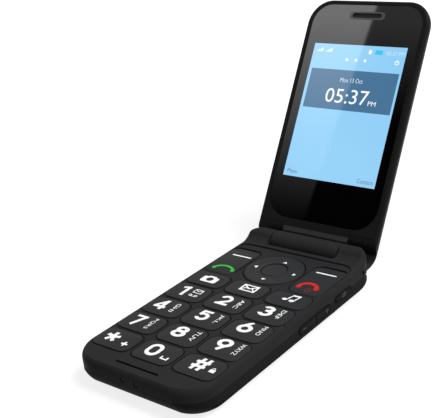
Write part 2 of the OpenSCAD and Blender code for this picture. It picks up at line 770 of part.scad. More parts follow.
module lid_outer_cover() color(charcoal) opened() difference() {
    lid_solid();
    span([-40, -120, -1], [40, -0.5, lid_seam]);
    lid_cavity(lid_seam - 3, lid_z1 - lid_skin);
    shoulder_room();
    barrel_room();
    lug(0.05);
    // seat and opening of the outer window
    outer_window_shape(-0.05, lid_z1 - 1, lid_z1 + 1);
    outer_window_shape(1.5, lid_z1 - 3, lid_z1 + 1);
    for (s = [-1, 1]) out_key_shape(s, 0.25, lid_z1 - 3, lid_z1 + 1);
    translate([0, cam_y, lid_z1 - 3]) cylinder(r = 4.05, h = 5);
    span([-4.6, -15, lboard_z1], [4.6, cam_y + 4.4, lid_z1 - lid_skin + e]);
    plate(0, out_y + outer_l / 2 + 0.75, 9, 1, 0.49, lid_z1 - 3, lid_z1 + 1);
    // lamp seat in the hinge end
    span([-lamp_w / 2 - 0.05, lamp_y - lamp_l / 2 - 0.05, 3.95], [lamp_w / 2 + 0.05, 12, 5.25]);
    // flex channel to the barrel
    span([-1.6, -13.2, lid_seam - 0.1], [1.6, -3, lboard_z0 + 0.1]);
}

module lid_inner_cover() color(charcoal) opened() difference() {
    intersection() {
        lid_solid();
        span([-40, -120, 0], [40, -0.5, lid_seam]);
    }
    glass_shape(0.1, lid_z0 - 1, glass_z0 + glass_t + 0.02);
    plate(0, display_y, display_w + 0.4, display_l + 0.6, 1, 0, 6);
    plate(0, ear_y, 19, 7, 1, 0, 6);
    plate(0, glass_y1 - 6.6, 30, 7, 1, 3.4, 6);
    shoulder_room();
    barrel_room();
    lug(0.05);
    for (s = [-1, 1], y = [lid_screw_y2, lid_screw_y]) translate([s * lid_screw_x, y, 3.2])
        cylinder(r = 0.9, h = 3, $fn = 32);
}

module glass_shape(grow, z0, z1) {
    translate([0, 0, z0]) linear_extrude(height = z1 - z0) difference() {
        translate([-glass_w / 2 - grow, glass_y0 - grow]) square([glass_w + 2 * grow, glass_l + 2 * grow]);
        for (i = [-1, 1]) corner_cut(i * (glass_w / 2 + grow), glass_y0 - grow, i, -1, 8.5 + grow);
        for (i = [-1, 1]) corner_cut(i * (glass_w / 2 + grow), glass_y1 + grow, i, 1, 10 + grow);
    }
}

module main_window() color(glass_black) opened() difference() {
    glass_shape(0, glass_z0, glass_z0 + glass_t);
    plate(0, ear_y, 15.8, 2.6, 1.2, 0, 4);
}

module main_display() color([0.5, 0.78, 0.95]) opened() {
    plate(0, display_y, display_w, display_l, 0.6, glass_z0 + glass_t + 0.02, lboard_z0);
}

module earpiece() color([0.25, 0.25, 0.27]) opened() {
    plate(0, ear_y, 13, 6, 1.5, glass_z0 + glass_t + 0.02, 5.2);
}

module earpiece_mesh() color([0.12, 0.12, 0.13]) opened() {
    plate(0, ear_y, 15.7, 2.5, 1.15, glass_z0 + 0.35, glass_z0 + glass_t);
}

module outer_window() color(glass_black) opened() difference() {
    outer_window_shape(0, lid_z1 - 1, lid_z1 - 0.05);
    plate(0, out_y + outer_l / 2 + 0.75, 9, 1, 0.49, 0, 20);
}

module outer_display() color([0.06, 0.06, 0.07]) opened() {
    plate(0, out_y, outer_w - 4, outer_l - 4.5, 0.8, lboard_z1, lid_z1 - lid_skin);
}

module camera_module() color(glass_black) opened() {
    plate(0, cam_y, 8.4, 8.4, 0.8, lboard_z1, 7.6);
    translate([0, cam_y, 7.5]) cylinder(r = 3, h = 1.5);
}

module camera_ring() color([0.2, 0.2, 0.21]) opened() translate([0, cam_y, 0]) rotate_extrude() {
    difference() {
        translate([3.1, lid_z1]) square([cam_ring_r - 3.1, 0.45]);
        corner_cut(cam_ring_r, lid_z1 + 0.45, 1, 1, 0.3);
        corner_cut(3.1, lid_z1 + 0.45, -1, 1, 0.3);
    }
    translate([3.1, lid_z1 - 1.1]) square([0.9, 1.2]);
}

module lid_board() color(board_green) opened() {
    plate(0, (lboard_y0 + lboard_y1) / 2, lboard_w, lboard_y1 - lboard_y0, 2, lboard_z0, lboard_z1);
    for (s = [-1, 1]) translate([s * out_key_x, out_key_y, lboard_z1 - 0.1]) cylinder(r = 2.6, h = 1.35, $fn = 48);
}

module lid_flex() color([0.75, 0.5, 0.2]) opened() {
    span([-1.4, -13, lboard_z0 - 0.14], [1.4, -4, lboard_z0]);
}

module lid_screws() color(metal) opened() {
    for (s = [-1, 1], y = [lid_screw_y2, lid_screw_y]) translate([s * lid_screw_x, y, 3.3]) {
        cylinder(r = 0.85, h = 2.6, $fn = 32);
        translate([0, 0, 0.9]) cylinder(r = 1.7, h = 0.9, $fn = 48);
    }
}

module lid_magnet() color(metal) opened() {
    span([magnet_x, magnet_y, lid_seam], [magnet_x + magnet_w, magnet_y + magnet_l, lid_seam + 1.5]);
}

module torch_lens() color([0.85, 0.87, 0.9]) opened() {
    plate(0, lamp_y, lamp_w, lamp_l, 0.5, 4, 5.2);
}

module hinge_barrel() color(soft_black) opened() difference() {
    union() {
        rotate([0, 90, 0]) cylinder(r = shoulder_r, h = 2 * barrel_x, center = true);
        lug(0);
    }
    translate([-barrel_x - 1, 0, 0]) rotate([0, 90, 0]) cylinder(r = cam_r + shaft_gap, h = 13);
    translate([pin_x - 1.5, 0, 0]) rotate([0, 90, 0]) cylinder(r = pin_r + shaft_gap, h = 12);
}

module hinge_cam_unit() color(metal) opened() {
    translate([-barrel_x + 0.3, 0, 0]) rotate([0, 90, 0]) cylinder(r = cam_r, h = 11.5);
    translate([-pocket_x - 4.55, 0, 0]) rotate([0, 90, 0]) cylinder(r = pin_r, h = 7);
}

module out_key(s) {
    color(key_black) opened() {
        out_key_shape(s, 0, lid_z1 - 2.1, lid_z1 + 0.15);
        out_key_shape(s, 0.5, lid_z1 - 2.1, lid_z1 - lid_skin - 0.05);
    }
}

module outer_call_key() { out_key(-1); }
module outer_end_key() { out_key(1); }

base_front_cover();
base_rear_cover();
battery_cover();
battery();
main_board();
shield_can();
dome_sheet();
keypad_mat();
loudspeaker();
microphone();
vibration_motor();
usb_socket();
sim_holder();
battery_contacts();
charging_contacts();
antenna();
base_screws();
hinge_pin();
key_1();
key_2();
key_3();
key_4();
key_5();
key_6();
key_7();
key_8();
key_9();
key_star();
key_0();
key_hash();
key_camera();
key_message();
key_music();
left_rocker();
right_rocker();
nav_pivot();
nav_ring();
ok_key();
volume_rocker();
camera_side_key();
hinge_barrel();
hinge_cam_unit();
lid_outer_cover();
lid_inner_cover();
main_window();
main_display();
earpiece();
earpiece_mesh();
outer_window();
outer_display();
camera_module();
camera_ring();
lid_board();
lid_flex();
lid_screws();
lid_magnet();
torch_lens();
outer_call_key();
outer_end_key();
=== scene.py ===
"""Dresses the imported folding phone: finishes, legends, lit screens and a plain studio."""
import enum
import functools
import logging
import math
from dataclasses import dataclass, field

import bpy
from mathutils import Matrix, Vector
from mathutils.bvhtree import BVHTree


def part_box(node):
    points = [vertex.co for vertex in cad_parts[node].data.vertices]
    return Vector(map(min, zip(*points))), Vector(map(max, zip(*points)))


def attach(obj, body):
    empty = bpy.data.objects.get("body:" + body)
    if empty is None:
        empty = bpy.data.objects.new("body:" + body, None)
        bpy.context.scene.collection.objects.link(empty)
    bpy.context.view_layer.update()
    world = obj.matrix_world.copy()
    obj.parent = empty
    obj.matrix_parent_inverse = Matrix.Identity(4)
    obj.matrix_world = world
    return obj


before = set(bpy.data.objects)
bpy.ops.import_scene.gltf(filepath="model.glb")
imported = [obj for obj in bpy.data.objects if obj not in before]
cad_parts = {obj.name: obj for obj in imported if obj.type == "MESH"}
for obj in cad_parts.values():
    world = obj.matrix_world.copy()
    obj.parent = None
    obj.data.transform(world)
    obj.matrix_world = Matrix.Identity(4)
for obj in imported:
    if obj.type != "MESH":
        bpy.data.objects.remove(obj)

logging.basicConfig(level=logging.INFO, format="%(message)s")
log = logging.getLogger("phone")

Piece = bpy.types.Object
Tree = bpy.types.NodeTree
Socket = bpy.types.NodeSocket
Material = bpy.types.Material
Colour = tuple[float, float, float, float]
Span = tuple[float, float]
Point = tuple[float, float, float]

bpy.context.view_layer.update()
MM = 0.001
HINGE_Y = 50.95
HINGE_Z = 11.4
LID_OPEN = math.radians(122.5)
# ink, in mm: how far it is lifted off its carrier, and how thick it is
INK_LIFT = 0.015
INK_THICK = 0.03
# how far a rim, mark or line sinks into its carrier, in mm
SINK = -0.02
# lit shapes lie over each other in steps of this, in mm
LAYER_STEP = 0.012
# squares of the net that lets a slab follow a crown, in mm
NET_STEP = 1.4
# a surface is looked for from this height, and this far beside a small hole, in mm
SEARCH_HEIGHT = 60.0
HOLE_REACH = 1.6
ARC_STEP = math.radians(9)
ARC_STEPS_MIN = 6
WHOLE_TURN = 359.9
ROUND_SIDES = 40
CORNER_STEPS = 6
# a corner that rounds a whole end stops this short of half the width, in mm
END_SLACK = 0.01
# width of the strokes of the figures, in mm
BOLD = 1.5
# depth of the moulded grain, in metres
GRAIN_DEPTH = 0.00004


# ---- edit-mode helpers ----

def enter(mode: str) -> None:
    """Goes into edit mode or object mode."""
    bpy.ops.object.mode_set(mode=mode)


def deselect() -> None:
    """Leaves nothing selected and Blender in object mode."""
    if bpy.context.object is not None and bpy.context.object.mode != "OBJECT":
        enter("OBJECT")
    for obj in bpy.context.selected_objects:
        obj.select_set(False)


def make_active(obj: Piece) -> None:
    """Selects one object alone and makes it active.

    Args:
        obj: The object.
    """
    deselect()
    obj.select_set(True)
    bpy.context.view_layer.objects.active = obj


def shaped(scale: Point = (1, 1, 1), turn: Point = (0, 0, 0), place: Point = (0, 0, 0)) -> Piece:
    """Scales, turns and moves the active object, all within its mesh.

    Args:
        scale: Scale along each axis.
        turn: Turn about each axis, in radians.
        place: Where it goes.

    Returns:
        The object.
    """
    obj = bpy.context.object
    obj.scale, obj.rotation_euler, obj.location = scale, turn, place
    make_active(obj)
    bpy.ops.object.transform_apply(location=True, rotation=True, scale=True)
    return obj


def apply_modifier(obj: Piece, kind: str, **settings: object) -> None:
    """Adds a modifier and applies it at once.

    Args:
        obj: The object that is changed.
        kind: Blender's name of the modifier type.
        settings: Values of the modifier.
    """
    make_active(obj)
    mod = obj.modifiers.new(kind.lower(), kind)
    for key, value in settings.items():
        setattr(mod, key, value)
    bpy.ops.object.modifier_apply(modifier=mod.name)


def unite(parts: list[Piece], how: str = "UNION") -> Piece:
    """Fuses thin solids by exact booleans.

    Args:
        parts: Closed solids; the first one stays, the others go.
        how: UNION, or DIFFERENCE to take the others out of the first.

    Returns:
        The solid that stays.
    """
    base = parts[0]
    for part in parts[1:]:
        apply_modifier(base, "BOOLEAN", operation=how, object=part, solver="EXACT")
        bpy.data.objects.remove(part)
    return base


def cut(base: Piece, tool: Piece) -> Piece:
    """Takes one solid out of another."""
    return unite([base, tool], "DIFFERENCE")


# ---- flat strokes: slabs from z = 0 to z = 1, in millimetres ----

def bar(x0: float, y0: float, x1: float, y1: float, t: float) -> Piece:
    """Straight stroke with square ends.

    Args:
        x0: Start, across.
        y0: Start, along.
        x1: End, across.
        y1: End, along.
        t: Width of the stroke.

    Returns:
        A thin slab.
    """
    deselect()
    bpy.ops.mesh.primitive_cube_add(size=1)
    return shaped((math.hypot(x1 - x0, y1 - y0), t, 1), (0, 0, math.atan2(y1 - y0, x1 - x0)),
                  ((x0 + x1) / 2, (y0 + y1) / 2, 0.5))


def arc(cx: float, cy: float, rx: float, ry: float, a0: float, a1: float, t: float) -> Piece:
    """Curved stroke: a small rectangle spun round a centre.

    Args:
        cx: Centre, across.
        cy: Centre, along.
        rx: Radius of the centre line, across.
        ry: Radius of the centre line, along.
        a0: Start angle in degrees.
        a1: End angle in degrees.
        t: Width of the stroke.

    Returns:
        A thin slab.
    """
    deselect()
    if abs(a1 - a0) >= WHOLE_TURN:
        cut(disc(0, 0, ry + t / 2, ry + t / 2), disc(0, 0, ry - t / 2, ry - t / 2, tall=3))
    else:
        bpy.ops.mesh.primitive_plane_add(size=1)
        shaped((t, 1, 1), (math.pi / 2, 0, 0), (ry, 0, 0.5))
        shaped(turn=(0, 0, math.radians(a0)))
        sweep = math.radians(a1 - a0)
        enter("EDIT")
        bpy.ops.mesh.select_all(action="SELECT")
        bpy.ops.mesh.spin(steps=max(ARC_STEPS_MIN, round(abs(sweep) / ARC_STEP)), dupli=False,
                          angle=-sweep, center=(0, 0, 0), axis=(0, 0, 1))
        bpy.ops.mesh.select_all(action="SELECT")
        bpy.ops.mesh.remove_doubles(threshold=0.001)
        bpy.ops.mesh.normals_make_consistent(inside=False)
        enter("OBJECT")
    return shaped((rx / ry, 1, 1), place=(cx, cy, 0))


def disc(cx: float, cy: float, rx: float, ry: float, sides: int = ROUND_SIDES, tall: float = 1) -> Piece:
    """Filled round spot.

    Args:
        cx: Centre, across.
        cy: Centre, along.
        rx: Radius across.
        ry: Radius along.
        sides: Number of sides.
        tall: Its height; a taller one cuts through the others.

    Returns:
        A thin slab.
    """
    deselect()
    bpy.ops.mesh.primitive_cylinder_add(vertices=sides, radius=1, depth=tall)
    return shaped((rx, ry, 1), place=(cx, cy, 0.5))


def tile(cx: float, cy: float, w: float, l: float, r: float = 0.0) -> Piece:
    """Filled rectangle with rounded corners.

    Args:
        cx: Centre, across.
        cy: Centre, along.
        w: Width.
        l: Length.
        r: Corner radius.

    Returns:
        A thin slab.
    """
    deselect()
    bpy.ops.mesh.primitive_cube_add(size=1)
    obj = shaped((w, l, 1), place=(cx, cy, 0.5))
    if r > 0:
        enter("EDIT")
        bpy.ops.mesh.select_all(action="DESELECT")
        enter("OBJECT")
        for edge in obj.data.edges:
            a, b = (obj.data.vertices[i].co for i in edge.vertices)
            edge.select = abs(a.z - b.z) > 0.5
        enter("EDIT")
        bpy.ops.mesh.select_mode(type="EDGE")
        bpy.ops.mesh.bevel(offset=r, segments=CORNER_STEPS)
        enter("OBJECT")
    return obj


def hoop(cx: float, cy: float, w: float, l: float, r: float, t: float) -> Piece:
    """Outline of a tile that is w by l over all, with lines of width t."""
    return cut(tile(cx, cy, w, l, r), tile(cx, cy, w - 2 * t, l - 2 * t, r - t))


def wedge(cx: float, cy: float, w: float, l: float, turn: float) -> Piece:
    """Filled triangle that points along its turn.

    Args:
        cx: Centre, across.
        cy: Centre, along.
        w: Width of its base.
        l: Length from base to tip.
        turn: Direction of the tip in degrees, 90 along +Y.

    Returns:
        A thin slab.
    """
    deselect()
    bpy.ops.mesh.primitive_cylinder_add(vertices=3, radius=1, depth=1)
    shaped(turn=(0, 0, -math.pi / 2), place=(0, 0, 0.5))
    return shaped((l / 1.5, w / math.sqrt(3), 1), (0, 0, math.radians(turn)), (cx, cy, 0))


def words(text: str, cx: float, cy: float, w: float, h: float, turn: float = 0.0) -> Piece:
    """Small lettering fitted to a box, as a thin slab.

    Args:
        text: What it says.
        cx: Centre, across.
        cy: Centre, along.
        w: Length of the line.
        h: Height of the letters.
        turn: Turn in degrees.

    Returns:
        A thin slab.
    """
    deselect()
    curve = bpy.data.curves.new("words", "FONT")
    curve.body = text
    curve.resolution_u = 3
    curve.extrude = 0.5
    obj = bpy.data.objects.new("words", curve)
    bpy.context.scene.collection.objects.link(obj)
    make_active(obj)
    bpy.ops.object.convert(target="MESH")
    low, high = reach_of(bpy.context.object)
    shaped(place=tuple(-(a + b) / 2 for a, b in zip(low, high)))
    return shaped((w / (high[0] - low[0]), h / (high[1] - low[1]), 1), (0, 0, math.radians(turn)),
                  (cx, cy, 0.5))


def reach_of(obj: Piece) -> tuple[list[float], list[float]]:
    """Finds the lowest and highest corner of a mesh."""
    low, high = ([end(v.co[i] for v in obj.data.vertices) for i in range(3)] for end in (min, max))
    return low, high


# bold plain figures about their centre, in a box about 6 wide and 7.6 high: each stroke is the
# function that makes it, with its sizes
FIGURES: dict[str, tuple[tuple, ...]] = {
    "1": ((bar, 0.95, -3.8, 0.95, 3.8, BOLD), (bar, -1.75, 2.2, 1.1, 3.55, 1.15)),
    "2": ((arc, 0, 0.95, 2.2, 2.1, 168, -38, BOLD), (bar, 1.95, -0.15, -1.95, -3.1, BOLD),
          (bar, -2.95, -3.1, 3.0, -3.1, 1.4)),
    "3": ((arc, -0.05, 1.55, 1.85, 1.5, 158, -80, BOLD), (arc, 0, -1.25, 2.2, 1.8, 80, -160, BOLD),
          (bar, -0.75, 0.2, 0.5, 0.2, 1.3)),
    "4": ((bar, 1.1, -3.75, 1.1, 3.75, BOLD), (bar, 1.25, 3.35, -2.35, -1.55, 1.4),
          (bar, -2.95, -1.75, 2.85, -1.75, 1.4)),
    "5": ((bar, -2.05, 3.1, 2.55, 3.1, 1.4), (bar, -1.5, 3.4, -1.85, 0.1, 1.35),
          (arc, 0, -0.95, 2.25, 2.1, 150, -155, BOLD)),
    "6": ((arc, 0, -1.15, 2.3, 2.0, 0, 360, BOLD), (bar, -1.85, -0.35, 0.75, 3.75, BOLD)),
    "7": ((bar, -2.6, 3.1, 2.65, 3.1, 1.4), (bar, 2.0, 3.3, -0.95, -3.85, BOLD)),
    "8": ((arc, 0, 1.6, 1.85, 1.5, 0, 360, BOLD), (arc, 0, -1.35, 2.25, 1.75, 0, 360, BOLD)),
    "9": ((arc, 0, 1.15, 2.3, 2.0, 0, 360, BOLD), (bar, 1.85, 0.35, -0.75, -3.75, BOLD)),
    "0": ((arc, 0, 0.85, 2.25, 2.25, 0, 180, BOLD), (arc, 0, -0.85, 2.25, 2.25, 180, 360, BOLD),
          (bar, -2.25, -0.9, -2.25, 0.9, BOLD), (bar, 2.25, -0.9, 2.25, 0.9, BOLD)),
    "*": (*((bar, 0, 0, 3.1 * math.cos(a), 3.1 * math.sin(a), BOLD)
            for a in (math.radians(90 + 72 * k) for k in range(5))), (disc, 0, 0, 0.8, 0.8, 20)),
    "#": ((bar, -1.9, -3.8, -0.5, 3.8, 1.35), (bar, 0.8, -3.8, 2.2, 3.8, 1.35),
          (bar, -2.7, 1.35, 3.1, 1.35, 1.3), (bar, -3.1, -1.35, 2.7, -1.35, 1.3)),
}


def handset(cx: float, cy: float, r: float, a0: float, a1: float, t: float, end: float) -> list[Piece]:
    """A telephone handset: an arc with a thick round ear at each end.

    Args:
        cx: Centre of the arc, across.
        cy: Centre of the arc, along.
        r: Radius of its centre line.
        a0: Angle of its left end in degrees.
        a1: Angle of its right end in degrees.
        t: Width of the stroke.
        end: Radius of the ears.

    Returns:
        The slabs that make it.
    """
    inner = r - (end - t / 2)
    ears = ((cx + inner * math.cos(a), cy + inner * math.sin(a)) for a in map(math.radians, (a0, a1)))
    return [arc(cx, cy, r, r, a0, a1, t), *(disc(x, y, end, end, 28) for x, y in ears)]


class Surface:
    """A CAD surface that ink is laid on, in a plane frame of its own."""

    def __init__(self, node: str, to_part: Matrix, crowned: bool = True) -> None:
        """Builds the search tree of one node.

        Args:
            node: Name of the CAD node.
            to_part: Turns the plane frame (mm) into the part frame (mm).
            crowned: Whether the surface is curved.
        """
        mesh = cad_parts[node].data
        self.tree = BVHTree.FromPolygons([Vector(v.co) / MM for v in mesh.vertices],
                                         [tuple(p.vertices) for p in mesh.polygons])
        self.to_part = to_part
        self.crowned = crowned

    def drop(self, x: float, y: float) -> Vector:
        """Finds the surface under a point of the plane frame, or beside a small hole there.

        Args:
            x: Across.
            y: Along.

        Returns:
            The point in the part frame, in mm.
        """
        turn = self.to_part.to_3x3()
        down = (turn @ Vector((0, 0, -1))).normalized()
        for dx, dy in ((0, 0), (1, 0), (-1, 0), (0, 1), (0, -1)):
            aside = HOLE_REACH * Vector((dx, dy, 0))
            hit = self.tree.ray_cast(self.to_part @ (Vector((x, y, SEARCH_HEIGHT)) + aside), down)[0]
            if hit is not None:
                return hit - turn @ aside
        return self.to_part @ Vector((x, y, 0))


def slice_up(obj: Piece) -> None:
    """Bisects a slab along a square net, so that it can follow a crown.

    Args:
        obj: The slab.
    """
    make_active(obj)
    low, high = reach_of(obj)
    enter("EDIT")
    for axis, across in enumerate((Vector((1, 0, 0)), Vector((0, 1, 0)))):
        long = high[axis] - low[axis]
        cuts = int(long / NET_STEP)
        for k in range(1, cuts + 1):
            bpy.ops.mesh.select_all(action="SELECT")
            bpy.ops.mesh.bisect(plane_co=across * (low[axis] + long * k / (cuts + 1)), plane_no=across)
    enter("OBJECT")


def lay(obj: Piece, surface: Surface, lift: float, thick: float) -> None:
    """Drapes a slab over a surface and brings it to metres in the part frame.

    Args:
        obj: A slab between z = 0 and z = 1, in mm of the plane frame.
        surface: What carries it.
        lift: Height of its underside over the surface.
        thick: Thickness of the ink.
    """
    if surface.crowned:
        slice_up(obj)
    make_active(obj)
    enter("EDIT")
    bpy.ops.mesh.select_all(action="SELECT")
    bpy.ops.mesh.quads_convert_to_tris()
    enter("OBJECT")
    up = (surface.to_part.to_3x3() @ Vector((0, 0, 1))).normalized()
    for v in obj.data.vertices:
        height = lift + (thick if v.co.z > 0.5 else 0.0)
        v.co = (surface.drop(v.co.x, v.co.y) + up * height) * MM
    obj.data.update()
    deselect()


# ---- finishes ----

def rgb(r: float, g: float, b: float) -> Colour:
    """Turns display values 0 to 255 into a linear colour with alpha."""
    out = [(c / 255 / 12.92) if c <= 10.3 else ((c / 255 + 0.055) / 1.055) ** 2.4 for c in (r, g, b)]
    return (out[0], out[1], out[2], 1.0)


def feed(tree: Tree, node: bpy.types.Node, sockets: dict[str | int, object]) -> bpy.types.Node:
    """Sets the inputs of a node.

    Args:
        tree: The tree that the node is in.
        node: The node.
        sockets: For each input, its value or the socket that feeds it.

    Returns:
        The node.
    """
    for key, value in sockets.items():
        if isinstance(value, Socket):
            tree.links.new(value, node.inputs[key])
        else:
            node.inputs[key].default_value = value
    return node


def add(tree: Tree, kind: str, sockets: dict[str | int, object] | None = None,
        **settings: object) -> bpy.types.NodeOutputs:
    """Adds a node to a tree.

    Args:
        tree: The tree.
        kind: Blender's name of the node type, after ShaderNode.
        sockets: For each input, its value or the socket that feeds it.
        settings: Attributes of the node.

    Returns:
        The node's outputs.
    """
    node = tree.nodes.new("ShaderNode" + kind)
    for key, value in settings.items():
        setattr(node, key, value)
    return feed(tree, node, sockets or {}).outputs


def calc(tree: Tree, kind: str, *values: object) -> Socket:
    """Adds a Math node whose inputs are numbers or sockets."""
    return add(tree, "Math", dict(enumerate(values)), operation=kind)[0]


def remap(tree: Tree, value: Socket, source: Span = (0.0, 1.0), target: Span = (0.0, 1.0)) -> Socket:
    """Stretches a value from its source range to a target range."""
    ends = zip(("From Min", "From Max", "To Min", "To Max"), (*source, *target))
    return add(tree, "MapRange", {"Value": value, **dict(ends)})["Result"]


def tint(tree: Tree, factor: Socket, first: Colour, second: Colour) -> Socket:
    """Blends two colours; the factor says how much of the second shows."""
    return add(tree, "Mix", {"Factor": factor, "A": first, "B": second}, data_type="RGBA")["Result"]


def cloud(tree: Tree, scale: float | Socket, detail: float) -> Socket:
    """Soft noise that lies still on the piece."""
    place = add(tree, "TexCoord")["Object"]
    return add(tree, "TexNoise", {"Vector": place, "Scale": scale, "Detail": detail})["Fac"]


@functools.cache
def grain_group() -> Tree:
    """Fine moulded grain with a slow change of tone, as one shared group.

    Returns:
        A group with Scale in; Height, Tone and Rough out.
    """
    tree = bpy.data.node_groups.new("moulded_grain", "ShaderNodeTree")
    for name, side in (("Scale", "INPUT"), ("Height", "OUTPUT"), ("Tone", "OUTPUT"), ("Rough", "OUTPUT")):
        tree.interface.new_socket(name=name, in_out=side, socket_type="NodeSocketFloat")
    scale = tree.nodes.new("NodeGroupInput").outputs["Scale"]
    fine = cloud(tree, scale, 3)
    pits = add(tree, "TexVoronoi", {"Vector": add(tree, "TexCoord")["Object"], "Scale": scale})["Distance"]
    feed(tree, tree.nodes.new("NodeGroupOutput"), {
        "Height": calc(tree, "MULTIPLY_ADD", pits, 0.6, fine),
        "Tone": remap(tree, cloud(tree, 45, 2), (0.3, 0.7)),
        "Rough": remap(tree, fine, (0.25, 0.75)),
    })
    return tree


def grain(tree: Tree, scale: float) -> bpy.types.NodeOutputs:
    """Places the shared grain in a material and gives its Height, Tone and Rough."""
    return add(tree, "Group", {"Scale": scale}, node_tree=grain_group())


def fresh(name: str) -> tuple[Material, Tree, bpy.types.Node]:
    """Makes an empty material.

    Args:
        name: Name of the material.

    Returns:
        The material, its node tree and its Principled BSDF.
    """
    mat = bpy.data.materials.new(name)
    mat.use_nodes = True
    return mat, mat.node_tree, mat.node_tree.nodes["Principled BSDF"]


@dataclass(frozen=True)
class Moulded:
    """Moulded or soft-coated plastic with a fine grain."""

    name: str
    dark: Colour
    light: Colour
    rough: Span = (0.5, 0.62)
    specular: float = 0.2
    scale: float = 3500.0
    depth: float = 0.12

    def make(self) -> Material:
        """Builds the material.

        Returns:
            The material.
        """
        mat, tree, shader = fresh(self.name)
        fine = grain(tree, self.scale)
        relief = {"Strength": self.depth, "Distance": GRAIN_DEPTH, "Height": fine["Height"]}
        feed(tree, shader, {
            "Base Color": tint(tree, fine["Tone"], self.dark, self.light),
            "Roughness": remap(tree, fine["Rough"], target=self.rough),
            "Normal": add(tree, "Bump", relief)["Normal"],
            "Specular IOR Level": self.specular,
        })
        return mat


@dataclass(frozen=True)
class Gloss:
    """Smooth glass or lacquer with faint wipe marks."""

    name: str
    colour: Colour
    rough: Span = (0.02, 0.04)
    specular: float = 0.5

    def make(self) -> Material:
        """Builds the material.

        Returns:
            The material.
        """
        mat, tree, shader = fresh(self.name)
        feed(tree, shader, {
            "Base Color": self.colour,
            "Roughness": remap(tree, cloud(tree, 60, 4), (0.35, 0.7), self.rough),
            "Specular IOR Level": self.specular,
        })
        return mat


@dataclass(frozen=True)
class Ink:
    """Printed ink, a little uneven."""

    name: str
    colour: Colour
    worn: Colour
    rough: float = 0.55
    specular: float = 0.2
    scale: float = 900.0

    def make(self) -> Material:
        """Builds the material.

        Returns:
            The material.
        """
        mat, tree, shader = fresh(self.name)
        feed(tree, shader, {
            "Base Color": tint(tree, grain(tree, self.scale)["Rough"], self.colour, self.worn),
            "Roughness": self.rough,
            "Specular IOR Level": self.specular,
        })
        return mat


@dataclass(frozen=True)
class Lit:
    """Light that a display gives off, under glass."""

    name: str
    low: Colour
    high: Colour
    level: float = 1.0
    glass: Colour = (0.003, 0.003, 0.003, 1)
    rough: float = 0.03
    specular: float = 0.5

    def make(self) -> Material:
        """Builds the material.

        Returns:
            The material.
        """
        mat, tree, shader = fresh(self.name)
        feed(tree, shader, {
            "Emission Color": tint(tree, remap(tree, cloud(tree, 18, 1.5), (0.3, 0.7)), self.low, self.high),
            "Base Color": self.glass,
            "Emission Strength": self.level,
            "Roughness": self.rough,
            "Specular IOR Level": self.specular,
        })
        return mat


@dataclass(frozen=True)
class Metal:
    """Brushed or plated metal."""

    name: str
    colour: Colour
    rough: Span = (0.25, 0.4)
    scale: float = 2500.0

    def make(self) -> Material:
        """Builds the material.

        Returns:
            The material.
        """
        mat, tree, shader = fresh(self.name)
        feed(tree, shader, {
            "Base Color": self.colour,
            "Roughness": remap(tree, grain(tree, self.scale)["Rough"], target=self.rough),
            "Metallic": 1.0,
        })
        return mat


